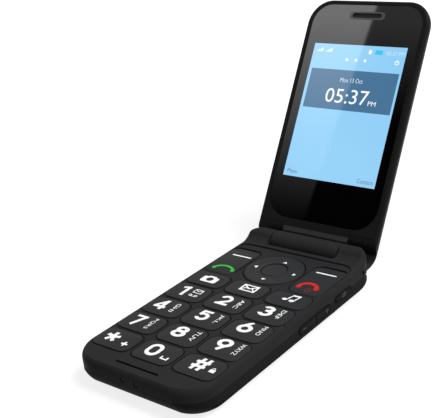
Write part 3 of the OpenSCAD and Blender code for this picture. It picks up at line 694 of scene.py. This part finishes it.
class Finish(enum.Enum):
    """Every finish on the phone."""

    DECK = Moulded("charcoal_soft_coat", rgb(36, 36, 37), rgb(40, 40, 41), (0.5, 0.6), 0.03)
    SIDE = Moulded("black_soft_coat", rgb(26, 26, 27), rgb(30, 30, 31), (0.5, 0.6), 0.02)
    INNER = Moulded("black_frame_plastic", rgb(19, 19, 20), rgb(23, 23, 24), (0.42, 0.5), 0.05)
    OUTER = Moulded("satin_lid_coat", rgb(48, 48, 49), rgb(53, 53, 54), (0.42, 0.5), 0.1)
    KEY = Moulded("charcoal_key_plastic", rgb(37, 37, 38), rgb(41, 41, 42), (0.45, 0.55), 0.07)
    # lighter grey painted as highlight: on the raised marks of the side keys and as glint rings on the
    # camera lens
    MARK = Moulded("painted_highlight_grey", rgb(52, 52, 53), rgb(58, 58, 59), (0.4, 0.5), 0.15)
    BARREL = Moulded("smooth_black_plastic", rgb(38, 38, 39), rgb(42, 42, 43), (0.42, 0.5), 0.03)
    RUBBER = Moulded("mat_rubber", rgb(40, 40, 42), rgb(46, 46, 48), (0.7, 0.8), 0.1)
    GLASS = Gloss("black_glass", rgb(4, 4, 5))
    OUTER_GLASS = Gloss("black_outer_glass", rgb(2, 2, 3), (0.02, 0.04), 0.06)
    LENS = Gloss("dark_lens", rgb(3, 3, 6), (0.02, 0.04), 0.1)
    LAMP = Gloss("smoked_lamp_plastic", rgb(62, 63, 66), (0.25, 0.35), 0.3)
    WHITE = Ink("white_ink", rgb(252, 252, 252), rgb(246, 246, 246))
    GREEN = Ink("green_ink", rgb(56, 190, 60), rgb(44, 165, 50))
    # near-black painted as shade in the gaps round the keys, the side keys and along the hinge pocket; also
    # the colour of the microphone felt
    GAP = Moulded("painted_shade_and_felt", rgb(12, 12, 13), rgb(16, 16, 17), (0.6, 0.7), 0.02)
    RED = Ink("red_ink", rgb(212, 30, 30), rgb(190, 24, 26))
    DIM_RED = Ink("dim_red_ink", rgb(120, 36, 34), rgb(100, 32, 30))
    STEEL = Metal("brushed_steel", rgb(200, 200, 205))
    GOLD = Metal("gold_plate", rgb(215, 180, 110))
    BOARD = Moulded("green_board", rgb(14, 92, 52), rgb(20, 105, 60), (0.4, 0.5), 0.4)
    CELL = Moulded("battery_wrap", rgb(60, 62, 68), rgb(66, 68, 74), (0.4, 0.5), 0.3)
    FLEX = Moulded("amber_film", rgb(190, 120, 50), rgb(200, 130, 60), (0.35, 0.45), 0.4)
    SKY = Lit("lit_sky", rgb(138, 202, 244), rgb(152, 211, 249))
    BAND = Lit("lit_band", rgb(66, 110, 146), rgb(74, 118, 154))
    LIT_WHITE = Lit("lit_white", rgb(252, 252, 255), rgb(255, 255, 255))
    LIT_PALE = Lit("lit_pale", rgb(205, 228, 242), rgb(214, 234, 246))
    LIT_CYAN = Lit("lit_cyan", rgb(38, 190, 235), rgb(60, 205, 245))
    LIT_GREY = Lit("lit_grey", rgb(86, 122, 148), rgb(94, 130, 156))
    LIT_BLUE = Lit("lit_blue", rgb(24, 34, 150), rgb(34, 46, 185))
    SENSOR = Moulded("sensor_grey", rgb(46, 46, 50), rgb(54, 54, 58), (0.3, 0.4), 0.4)
    BEZEL = Moulded("glossy_black_frame", rgb(20, 20, 21), rgb(24, 24, 25), (0.2, 0.28), 0.5)
    MESH = Moulded("black_mesh", rgb(10, 10, 11), rgb(16, 16, 17), (0.5, 0.7), 0.2, 2500.0, 0.6)


@functools.cache
def material(finish: Finish) -> Material:
    """Makes the material of a finish, once."""
    return finish.value.make()


def coat(obj: Piece, finish: Finish) -> None:
    """Puts one finish on the whole of an object."""
    obj.data.materials.clear()
    obj.data.materials.append(material(finish))


def coat_nodes(finishes: dict[Finish, str]) -> None:
    """Coats CAD pieces.

    Args:
        finishes: For each finish, the names of the nodes that have it.
    """
    for finish, names in finishes.items():
        for name in names.split():
            coat(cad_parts[name], finish)
            log.info("node %s finished", name)


DECK_PLANE = Matrix.Identity(4)
# right side wall: x towards the hinge and y up
SIDE_PLANE = Matrix(((0, 0, 1, 0), (1, 0, 0, 0), (0, 1, 0, 0), (0, 0, 0, 1)))
# outside of the lid: x right and y towards the hinge end, from the hinge axis
OUTER_PLANE = Matrix.Translation((0, HINGE_Y, HINGE_Z)) @ Matrix.Rotation(-LID_OPEN, 4, "X")
# inside of the lid: x right and y towards the free end, from the hinge axis
INNER_PLANE = OUTER_PLANE @ Matrix.Rotation(math.pi, 4, "X")


def put_on(parts: list[Piece], surface: Surface, name: str, body: str, finish: Finish,
           lift: float = INK_LIFT, thick: float = INK_THICK, bevel: float = 0.0) -> None:
    """Fuses slabs, lays them on what carries them, and hangs the finished piece on its body.

    Args:
        parts: The slabs.
        surface: What carries them.
        name: Name of the piece.
        body: The CAD body that it rides on.
        finish: Its finish.
        lift: Height of its underside over the surface, in mm.
        thick: Its thickness, in mm.
        bevel: Width of its bevelled edges, in mm.
    """
    obj = unite(parts)
    lay(obj, surface, lift, thick)
    if bevel:
        apply_modifier(obj, "BEVEL", width=bevel * MM, segments=2, limit_method="ANGLE")
    obj.name = obj.data.name = name
    coat(obj, finish)
    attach(obj, body)
    log.info("piece %s on %s", name, body)


# ---- sub-assemblies ----

@dataclass
class Base:
    """The keypad half: covers, keys, side keys and what is inside."""

    finishes: dict[Finish, str] = field(default_factory=lambda: {
        Finish.DECK: "base_front_cover",
        Finish.SIDE: "base_rear_cover battery_cover volume_rocker camera_side_key",
        Finish.RUBBER: "keypad_mat loudspeaker charging_contacts nav_pivot",
        Finish.CELL: "battery",
        Finish.BOARD: "main_board",
        Finish.GOLD: "battery_contacts antenna",
        Finish.STEEL: "shield_can dome_sheet microphone vibration_motor usb_socket sim_holder "
                      "base_screws hinge_pin",
    })
    # middle, length and height of the face of each side key, along and up
    side_keys: tuple = (("volume_rocker", 11.0, 6.3, 20.3, 3.0), ("camera_side_key", 30.25, 7.25, 10.8, 2.1))
    pocket_x: float = 16.15

    def relief(self, parts: list[Piece], node: str, name: str, finish: Finish = Finish.MARK,
               thick: float = 0.12) -> None:
        """Raises a mark on a side key, by default coloured lighter as a painted highlight; x runs towards
        the hinge and y up.
        """
        put_on(parts, Surface(node, SIDE_PLANE), name, node, finish, SINK, thick)

    def build(self) -> None:
        """Coats the CAD pieces of the base, raises marks with a painted highlight on its side keys, and
        paints shade round the side keys and along the hinge pocket.
        """
        coat_nodes(self.finishes)
        # the raised plus and minus marks, coloured lighter as a painted highlight
        self.relief([bar(17.3, 6.3, 19.3, 6.3, 0.4), bar(18.3, 5.3, 18.3, 7.3, 0.4)],
                    "volume_rocker", "volume_plus")
        self.relief([bar(2.7, 6.3, 4.7, 6.3, 0.4)], "volume_rocker", "volume_minus")
        for node, cx, cy, w, l in self.side_keys:
            # a dark line of painted shade round the face of each side key
            edge = hoop(cx, cy, w, l, l / 2 - END_SLACK, 0.3)
            self.relief([edge], node, f"{node}_edge_shade_line", Finish.GAP, 0.04)
        # dark strips of painted shade along the front and both ends of the hinge pocket
        pocket = [bar(-15.3, 44.75, 15.3, 44.75, 0.6),
                  *(bar(x, 44.9, x, 49.5, 0.3) for x in (-self.pocket_x, self.pocket_x))]
        put_on(pocket, Surface("base_front_cover", DECK_PLANE), "hinge_pocket_shade", "base", Finish.GAP,
               SINK, 0.05)
        # the raised camera key mark, coloured lighter as a painted highlight
        frame_line = cut(tile(30.25, 7.2, 3.0, 1.5, 0.35), tile(30.25, 7.2, 2.4, 0.9, 0.2))
        self.relief([frame_line, disc(30.25, 7.2, 0.42, 0.42, 20), bar(29.6, 7.95, 30.9, 7.95, 0.3)],
                    "camera_side_key", "camera_key_mark")


@dataclass
class Legend:
    """One key with what is printed on it."""

    node: str
    sign: str
    at: tuple[float, float]
    letters: str = ""
    letters_at: tuple[float, float] = (0.0, 0.0)
    letters_long: float = 6.2
    letters_high: float = 1.7
    size: float = 0.91

    def build(self) -> None:
        """Coats the key and prints its figure and letters."""
        coat(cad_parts[self.node], Finish.KEY)
        top = Surface(self.node, DECK_PLANE)
        figure = unite([make(*sizes) for make, *sizes in FIGURES[self.sign]])
        make_active(figure)
        shaped((self.size, self.size, 1), place=(*self.at, 0))
        put_on([figure], top, self.node + "_figure", self.node, Finish.WHITE)
        if self.letters:
            small = words(self.letters, *self.letters_at, self.letters_long, self.letters_high, -90)
            put_on([small], top, self.node + "_letters", self.node, Finish.WHITE)


@dataclass
class Keypad:
    """The twelve number keys, the shortcuts, the blocks and the ring."""

    legends: list[Legend] = field(default_factory=lambda: [
        Legend("key_1", "1", (-20.9, -2.25)),
        Legend("key_2", "2", (-1.95, -1.4), "ABC", (4.6, -1.6)),
        Legend("key_3", "3", (16.5, -1.0), "DEF", (22.2, -0.9)),
        Legend("key_4", "4", (-21.1, -14.6), "GHI", (-14.9, -14.4)),
        Legend("key_5", "5", (-1.95, -13.9), "JKL", (4.6, -13.7)),
        Legend("key_6", "6", (16.75, -13.45), "MNO", (23.0, -13.2), size=0.95),
        Legend("key_7", "7", (-21.1, -27.6), "PQRS", (-15.1, -27.4), 7.4),
        Legend("key_8", "8", (-1.9, -26.75), "TUV", (4.7, -26.75), 6.6),
        Legend("key_9", "9", (16.9, -26.5), "WXYZ", (23.4, -26.6), 7.3, size=0.95),
        Legend("key_star", "*", (-21.0, -40.6), size=0.95),
        Legend("key_0", "0", (-1.9, -40.2), size=0.96),
        Legend("key_hash", "#", (17.95, -39.75), size=0.95),
    ])
    short_keys: tuple[str, ...] = ("key_camera", "key_message", "key_music")
    blocks: tuple[str, ...] = ("left_rocker", "right_rocker")
    key_w: float = 16.6
    key_l: float = 11.3
    key_r: float = 3.0
    short_l: float = 9.85
    block_w: float = 13.55
    block_l: float = 21.95
    nav_r: float = 11.8
    slot_w: float = 18.96
    slot_r: float = 0.43
    slot_y: float = -51.25
    felt_lift: float = -0.9
    felt_thick: float = 0.2
    # clearance round a key, and width and lift of the dark line of painted shade that starts there
    gap: float = 0.25
    gap_shade: float = 0.3
    gap_lift: float = -0.01

    def ink(self, parts: list[Piece], node: str, name: str, finish: Finish = Finish.WHITE,
            size: float = 1.0) -> None:
        """Prints a sign on a key.

        Args:
            parts: The slabs that make the sign.
            node: The key.
            name: Name of the print.
            finish: Its ink.
            size: Its size, as a share of the size that its slabs give.
        """
        sign = unite(parts)
        make_active(sign)
        x, y = ((a + b) / 2 * (1 - size) for a, b in list(zip(*reach_of(sign)))[:2])
        shaped((size, size, 1), place=(x, y, 0))
        put_on([sign], Surface(node, DECK_PLANE), name, node, finish)

    def painted_shade_lines(self) -> None:
        """Paints shade as dark lines round the deck's openings and fills the microphone slot with felt."""
        deck = Surface("base_front_cover", DECK_PLANE, False)
        faces = {legend.node: (self.key_w, self.key_l, self.key_r) for legend in self.legends}
        faces |= {node: (self.key_w, self.short_l, self.key_r) for node in self.short_keys}
        faces |= {node: (self.block_w, self.block_l, self.key_r) for node in self.blocks}
        faces["nav_ring"] = (2 * self.nav_r, 2 * self.nav_r, self.nav_r - END_SLACK)
        grow = self.gap + self.gap_shade
        for node, (width, length, corner) in faces.items():
            low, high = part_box(node)
            cx, cy = ((low[i] + high[i]) / 2 / MM for i in range(2))
            # a dark line of painted shade round each opening of the deck
            line = hoop(cx, cy, width + 2 * grow, length + 2 * grow, corner + grow, self.gap_shade)
            put_on([line], deck, f"{node}_painted_shade_line", "base", Finish.GAP, self.gap_lift)
        felt = tile(0, self.slot_y, self.slot_w, 2 * self.slot_r, self.slot_r - END_SLACK)
        put_on([felt], deck, "microphone_felt", "base", Finish.GAP, self.felt_lift,
               self.felt_thick)

    def small_signs(self) -> None:
        """Prints the small marks beside 1, star, 0 and hash."""
        self.ink([bar(-17.0, 0.55, -13.3, 0.55, 0.35), bar(-17.0, -1.85, -13.3, -1.85, 0.35),
                  bar(-16.85, 0.5, -16.85, -1.8, 0.35), bar(-13.45, 0.5, -13.45, -1.8, 0.35),
                  bar(-16.9, 0.45, -15.15, -0.75, 0.3), bar(-15.15, -0.75, -13.4, 0.45, 0.3)],
                 "key_1", "key_1_post_mark")
        self.ink([arc(-16.4, -3.95, 0.55, 0.55, 0, 360, 0.3), arc(-14.0, -3.95, 0.55, 0.55, 0, 360, 0.3),
                  bar(-16.4, -4.5, -14.0, -4.5, 0.3)], "key_1", "key_1_tape_mark")
        self.ink([bar(-15.2, -42.4, -12.6, -42.4, 0.75), bar(-13.9, -41.1, -13.9, -43.7, 0.75)],
                 "key_star", "key_star_plus")
        self.ink([bar(3.2, -43.3, 6.1, -43.3, 0.6), bar(3.45, -43.5, 3.45, -41.9, 0.6),
                  bar(5.85, -43.5, 5.85, -41.9, 0.6)], "key_0", "key_0_space_mark")
        self.ink([tile(23.7, -41.3, 2.3, 1.8, 0.25), arc(23.7, -40.45, 0.65, 0.95, 0, 180, 0.4)],
                 "key_hash", "key_hash_lock", size=0.9)

    def shortcut_signs(self) -> None:
        """Prints the camera, envelope and music signs."""
        body = unite([tile(-17.75, 9.1, 8.0, 4.7, 1.1), tile(-17.75, 10.9, 4.3, 2.6, 0.8)])
        body = cut(body, disc(-17.75, 9.4, 1.65, 1.55))
        self.ink([body], "key_camera", "key_camera_sign", size=0.9)
        self.ink([bar(-3.35, 12.425, 4.45, 12.425, 0.75), bar(-3.35, 7.875, 4.45, 7.875, 0.75),
                  bar(-2.975, 7.5, -2.975, 12.8, 0.75), bar(4.075, 7.5, 4.075, 12.8, 0.75),
                  bar(-2.95, 12.3, 0.55, 9.6, 0.75), bar(0.55, 9.6, 4.05, 12.3, 0.75),
                  bar(-2.95, 8.0, -0.75, 10.4, 0.6), bar(4.05, 8.0, 1.85, 10.4, 0.6)],
                 "key_message", "key_message_sign", size=0.9)
        self.ink([disc(16.85, 9.15, 1.2, 0.8), disc(20.1, 8.95, 1.2, 0.8),
                  bar(17.75, 9.2, 18.75, 13.3, 0.55), bar(21.0, 9.0, 21.9, 13.5, 0.55),
                  bar(18.5, 12.95, 22.0, 13.15, 1.1)],
                 "key_music", "key_music_sign", size=0.92)

    def block_signs(self) -> None:
        """Prints the soft-key bars and the handsets on the two blocks."""
        self.ink([bar(-23.25, 31.25, -14.4, 31.4, 0.85)], "left_rocker", "left_bar")
        self.ink([bar(15.6, 32.6, 24.3, 32.75, 0.85)], "right_rocker", "right_bar")
        self.ink(handset(-19.0, 15.9, 5.9, 144, 42, 1.1, 0.85), "left_rocker", "call_sign", Finish.GREEN)
        self.ink(handset(19.4, 19.6, 4.0, 170, 20, 1.5, 1.0), "right_rocker", "end_sign", Finish.RED)
        self.ink([arc(20.4, 19.1, 1.1, 1.1, 60, -240, 0.35), bar(20.4, 19.2, 20.4, 20.8, 0.35)],
                 "right_rocker", "power_sign", Finish.DIM_RED)

    def arrows(self) -> None:
        """Prints the four arrows on the ring."""
        cx, cy = 0.45, 26.6
        for name, dx, dy, turn in (("up", 0, 7.4, 90), ("down", 0, -7.6, -90),
                                   ("left", -8.6, -0.1, 180), ("right", 8.7, 0.2, 0)):
            self.ink([wedge(cx + dx, cy + dy, 2.0, 1.35, turn)], "nav_ring", "arrow_" + name)

    def build(self) -> None:
        """Coats and prints every key, and paints shade round the openings of the deck."""
        coat_nodes({Finish.KEY: " ".join((*self.short_keys, *self.blocks, "nav_ring ok_key"))})
        for legend in self.legends:
            legend.build()
        self.painted_shade_lines()
        self.small_signs()
        self.shortcut_signs()
        self.block_signs()
        self.arrows()


@dataclass
class Lid:
    """The screen half: covers, windows, pictures and what is inside."""

    finishes: dict[Finish, str] = field(default_factory=lambda: {
        Finish.OUTER: "lid_outer_cover outer_call_key outer_end_key",
        Finish.INNER: "lid_inner_cover",
        Finish.BARREL: "hinge_barrel camera_ring",
        Finish.GLASS: "main_window",
        Finish.OUTER_GLASS: "outer_window",
        Finish.LENS: "camera_module",
        Finish.LAMP: "torch_lens",
        Finish.MESH: "earpiece_mesh",
        Finish.RUBBER: "main_display outer_display earpiece",
        Finish.BOARD: "lid_board",
        Finish.FLEX: "lid_flex",
        Finish.STEEL: "lid_screws lid_magnet hinge_cam_unit",
    })
    dial_y: float = -48.4
    dial_r: float = 13.1
    outer_key_x: float = 9.5
    outer_key_y: float = -83.2
    camera_y: float = -10.6
    # rim of the outer window: middle, width, length, corner radius and width of the line
    rim: tuple[float, ...] = (0, -46.1, 39.7, 58.9, 6.65, 0.4)
    # lit shapes on the main window and the outer window: height of the lowest, and thickness
    main_layer: Span = (0.004, 0.01)
    outer_layer: Span = (0.01, 0.012)

    def picture(self, parts: list[Piece], name: str, layer: int, finish: Finish = Finish.LIT_WHITE) -> None:
        """Lays a lit shape on the main window.

        Args:
            parts: Slabs; x runs right and y from the axis towards the free end.
            name: Name of the shape, after screen_.
            layer: 0 for the lowest.
            finish: Its light.
        """
        lift, thick = self.main_layer
        put_on(parts, Surface("main_window", INNER_PLANE, False), "screen_" + name, "lid", finish,
               lift + LAYER_STEP * layer, thick)

    def main_screen(self) -> None:
        """Draws the lit main screen."""
        self.picture([tile(0, 57.2, 43.4, 57.8, 0.2)], "ground", 0, Finish.SKY)
        self.picture([tile(0.2, 66.75, 41.0, 17.0)], "band", 1, Finish.BAND)
        self.picture([words("05:37", -0.4, 64.2, 20.2, 6.0)], "time", 2)
        self.picture([words("PM", 11.7, 62.1, 3.6, 1.9)], "pm", 2)
        self.picture([words("Mon 13 Oct", 0, 71.0, 10.6, 1.9)], "date", 2, Finish.LIT_PALE)
        self.picture([words("Menu", -17.6, 30.5, 4.8, 1.8)], "left_word", 1, Finish.LIT_GREY)
        self.picture([words("Contacts", 17.0, 30.5, 7.4, 1.8)], "right_word", 1, Finish.LIT_GREY)
        for k in range(8):
            x, h = -19.6 + 0.8 * k + (1.2 if k > 3 else 0), 0.5 + 0.4 * (k % 4)
            self.picture([bar(x, 82.6, x, 82.6 + h, 0.5)], f"signal_{k + 1}", 1)
        self.picture([disc(5.5, 83.5, 0.75, 0.95, 16)], "bell", 1)
        self.picture([arc(18.5, 79.7, 0.8, 0.8, 0, 360, 0.35), bar(18.5, 79.7, 18.5, 80.4, 0.3)],
                     "alarm", 1)
        self.picture([tile(9.5, 83.5, 3.5, 1.9, 0.3)], "battery", 1, Finish.LIT_CYAN)
        self.picture([words("05:37 PM", 17.0, 83.4, 8.2, 1.7)], "clock", 1, Finish.LIT_PALE)
        for k, x in enumerate((-4.5, -0.2, 4.0)):
            self.picture([disc(x, 79.7, 0.65, 0.65, 16)], f"dot_{k + 1}", 1)

    def sign(self, parts: list[Piece], name: str, finish: Finish = Finish.LIT_WHITE,
             node: str = "outer_window", layer: int = 0) -> None:
        """Lays a sign on the outside of the lid.

        Args:
            parts: Slabs; x runs right and y towards the hinge end, in mm from the axis.
            name: Name of the sign.
            finish: Its light or ink.
            node: What carries it: the outer window or an outer key.
            layer: 0 for the lowest.
        """
        on_key = node != "outer_window"
        lift, thick = self.outer_layer
        put_on(parts, Surface(node, OUTER_PLANE, on_key), name, node if on_key else "lid", finish,
               lift + LAYER_STEP * layer, thick)

    def clock(self) -> None:
        """Draws the dial, its hands and the small marks on the outer window."""
        for hour in range(1, 13):
            a = math.radians(90 - 30 * hour)
            x, y = self.dial_r * math.cos(a), self.dial_y + self.dial_r * math.sin(a)
            if hour % 3:
                self.sign([disc(x, y, 1.0, 1.0, 24)], f"dial_dot_{hour}")
            else:
                text, wide = {3: ("III", 2.7), 6: ("VI", 3.1), 9: ("IX", 3.0), 12: ("XII", 4.3)}[hour]
                self.sign([words(text, x, y, wide, 2.4)], "dial_" + text)
        for name, turn, length, t in (("minute", 90 - 62, 12.0, 0.38), ("hour", 90 + 52, 5.8, 0.45)):
            a = math.radians(turn)
            hand = bar(0, self.dial_y, length * math.cos(a), self.dial_y + length * math.sin(a), t)
            self.sign([hand], "hand_" + name, layer=0 if name == "hour" else 1)
        self.sign([disc(0, self.dial_y, 0.95, 0.95, 24)], "dial_centre", layer=2)
        for k in range(8):
            x, h = -13.3 + 0.6 * k + (0.4 if k > 3 else 0), 0.6 + 0.35 * (k % 4)
            self.sign([bar(x, -27.9, x, -27.9 + h, 0.38)], f"outer_signal_{k + 1}")
        self.sign([tile(11.6, -26.5, 3.6, 2.2, 0.5), tile(13.6, -26.5, 0.8, 1.2, 0.1)],
                  "outer_battery", Finish.LIT_CYAN)
        self.sign([disc(-10.6, -71.8, 0.7, 0.7, 24)], "blue_lamp", Finish.LIT_BLUE)
        self.sign([disc(11.4, -71.7, 0.95, 0.95, 24)], "light_sensor", Finish.SENSOR)

    def outer_signs(self) -> None:
        """Prints the two handsets on the outer keys."""
        x, y = self.outer_key_x, self.outer_key_y
        call = handset(-x, y - 3.7, 5.1, 144, 36, 1.3, 0.95)
        self.sign(call, "outer_call_sign", Finish.GREEN, "outer_call_key")
        line = bar(-x - 1.5, y - 1.6, -x + 1.5, y - 1.6, 0.6)
        self.sign([line], "outer_call_line", Finish.GREEN, "outer_call_key")
        end = handset(x, y - 3.3, 5.1, 144, 36, 1.3, 0.95)
        self.sign(end, "outer_end_sign", Finish.RED, "outer_end_key")
        self.sign([arc(x, y - 2.0, 1.35, 1.35, 60, -240, 0.4), bar(x, y - 1.9, x, y - 0.4, 0.4)],
                  "outer_power_sign", Finish.RED, "outer_end_key")

    def outer_rims(self) -> None:
        """A thin rim round the outer window, and rings of painted highlight on the camera lens."""
        put_on([hoop(*self.rim)], Surface("lid_outer_cover", OUTER_PLANE), "outer_window_rim", "lid",
               Finish.BEZEL, SINK, 0.07)
        lens = Surface("camera_module", OUTER_PLANE)
        # two grey rings painted on the lens as its glints
        for name, r, t in (("camera_ring_glint", 2.35, 0.22), ("camera_iris_glint", 1.15, 0.16)):
            ring = arc(0, self.camera_y, r, r, 0, 360, t)
            put_on([ring], lens, name, "lid", Finish.MARK, SINK, 0.05)

    def earpiece_frame(self) -> None:
        """A raised frame round the earpiece slot and a low ledge over the barrel."""
        ring = cut(tile(0, 98.8, 16.6, 3.4, 1.65), tile(0, 98.8, 13.6, 1.9, 0.92))
        put_on([ring], Surface("main_window", INNER_PLANE, False), "earpiece_frame", "lid", Finish.BEZEL,
               -0.3, 0.42, bevel=0.12)
        foot = tile(0.2, 6.5, 30.6, 1.9, 0.5)
        put_on([foot], Surface("lid_inner_cover", INNER_PLANE, False), "lid_foot_ledge", "lid",
               Finish.OUTER, SINK, 0.14)

    def build(self) -> None:
        """Coats the CAD pieces of the lid and lights its screens."""
        coat_nodes(self.finishes)
        self.main_screen()
        self.earpiece_frame()
        self.outer_rims()
        self.clock()
        self.outer_signs()


@dataclass
class Studio:
    """Camera, floor, world and lamps."""

    azimuth: float = 40.88
    elevation: float = 22.0
    roll: float = -6.61
    lens: float = 76.95
    sensor: float = 36.0
    place: Point = (194.4, -227.45, 169.5)
    # light of the world and colour of the floor, as the phone sees them
    world_light: float = 0.22
    floor_tone: float = 0.3
    # the floor's lift towards white grows with distance, in metres
    floor_reach: Span = (0.16, 0.42)
    floor_lift: Span = (0.82, 1.0)
    lamp_place: Point = (0.62, 0.12, 0.95)
    lamp_size: float = 0.6
    lamp_power: float = 14.2
    # the graded card: its side, middle and axes, in metres
    card_size: float = 0.34
    card_place: Point = (-0.30472, -0.28029, 0.42613)
    card_across: Point = (0.86143, -0.35702, 0.36121)
    card_facing: Point = (0.50787, 0.60556, -0.61267)
    # slant and width of the step between its halves
    card_slant: float = 0.2105
    card_step: Span = (-0.0045, -0.0025)
    # each half: where its fade starts and ends, the bend of the fade, and its strength
    card_halves: tuple = ((0.13, -0.1, 1.7, 3.6), (0.015, -0.1, 1.6, 0.56))

    def camera(self) -> None:
        """Places the camera."""
        data = bpy.data.cameras.new("camera")
        data.lens = self.lens
        data.sensor_width = self.sensor
        data.clip_start = 0.01
        cam = bpy.data.objects.new("camera", data)
        bpy.context.scene.collection.objects.link(cam)
        az, el, roll = (math.radians(a) for a in (self.azimuth, self.elevation, self.roll))
        back = Vector((math.sin(az) * math.cos(el), -math.cos(az) * math.cos(el), math.sin(el)))
        side = Vector((0, 0, 1)).cross(back).normalized()
        top = back.cross(side)
        x = math.cos(roll) * side + math.sin(roll) * top
        y = math.cos(roll) * top - math.sin(roll) * side
        turn = Matrix((x, y, back)).transposed().to_4x4()
        turn.translation = Vector(self.place) * MM
        cam.matrix_world = turn
        bpy.context.scene.camera = cam

    def white_for_views(self, tree: Tree) -> Socket:
        """Mask of the rays that look at the background.

        Args:
            tree: The node tree that the mask is made in.

        Returns:
            A socket that is 1 for camera, glossy and transmission rays.
        """
        ray = add(tree, "LightPath")
        direct = calc(tree, "MAXIMUM", ray["Is Camera Ray"], ray["Is Glossy Ray"])
        return calc(tree, "MAXIMUM", direct, ray["Is Transmission Ray"])

    def world(self) -> None:
        """White to look at, softer as light."""
        world = bpy.data.worlds.new("studio")
        bpy.context.scene.world = world
        world.use_nodes = True
        tree = world.node_tree
        level = remap(tree, self.white_for_views(tree), target=(self.world_light, 1.0))
        feed(tree, tree.nodes["Background"], {"Color": (1, 1, 1, 1), "Strength": level})

    def floor(self) -> None:
        """A pale floor that keeps the object's shadow."""
        deselect()
        bpy.ops.mesh.primitive_plane_add(size=6)
        obj = shaped(place=(0, 0, -0.0002))
        obj.name = "floor"
        mat, tree, shader = fresh("pale_floor")
        far = add(tree, "VectorMath", {0: add(tree, "TexCoord")["Object"]}, operation="LENGTH")["Value"]
        lift = remap(tree, far, self.floor_reach, self.floor_lift)
        feed(tree, shader, {
            "Base Color": (self.floor_tone, self.floor_tone, self.floor_tone, 1),
            "Roughness": 0.9,
            "Specular IOR Level": 0.0,
            "Emission Color": (1, 1, 1, 1),
            "Emission Strength": calc(tree, "MULTIPLY", self.white_for_views(tree), lift),
        })
        obj.data.materials.append(mat)

    def lamp(self) -> None:
        """A square soft lamp that faces the phone."""
        data = bpy.data.lights.new("key_light", "AREA")
        data.shape = "SQUARE"
        data.size = self.lamp_size
        data.energy = self.lamp_power
        lamp = bpy.data.objects.new("key_light", data)
        bpy.context.scene.collection.objects.link(lamp)
        lamp.location = self.lamp_place
        aim = Vector((0, 0, 0.03)) - Vector(self.lamp_place)
        lamp.rotation_euler = aim.to_track_quat("-Z", "Y").to_euler()

    def card(self) -> None:
        """A graded card that only the gloss of the screen glass sees."""
        deselect()
        bpy.ops.mesh.primitive_grid_add(x_subdivisions=2, y_subdivisions=2, size=self.card_size)
        obj = bpy.context.object
        obj.name = "graded_card"
        facing, across = Vector(self.card_facing), Vector(self.card_across)
        turn = Matrix((across, facing.cross(across), facing)).transposed().to_4x4()
        turn.translation = Vector(self.card_place)
        obj.matrix_world = turn
        mat, tree, shader = fresh("graded_card")
        tree.nodes.remove(shader)
        place = add(tree, "SeparateXYZ", {0: add(tree, "TexCoord")["Object"]})
        slant = calc(tree, "MULTIPLY_ADD", place["Y"], self.card_slant, place["X"])
        halves = []
        for start, end, bend, strength in self.card_halves:
            fade = calc(tree, "POWER", remap(tree, place["Y"], (start, end)), bend)
            halves.append(calc(tree, "MULTIPLY", fade, strength))
        blend = {"Factor": remap(tree, slant, self.card_step), "A": halves[0], "B": halves[1]}
        glow = add(tree, "Emission", {"Strength": add(tree, "Mix", blend)["Result"]})
        feed(tree, tree.nodes["Material Output"], {"Surface": glow["Emission"]})
        obj.data.materials.append(mat)
        obj.visible_camera = obj.visible_diffuse = False
        obj.visible_transmission = obj.visible_shadow = False

    def build(self) -> None:
        """Sets up everything that isn't the phone."""
        self.camera()
        self.world()
        self.floor()
        self.card()
        self.lamp()
        bpy.context.scene.view_settings.view_transform = "Standard"
        log.info("studio ready")


def main() -> None:
    """Builds the studio and the phone, one sub-assembly after another."""
    deselect()
    for assembly in (Studio(), Base(), Keypad(), Lid()):
        assembly.build()


if __name__ == "__main__":
    main()
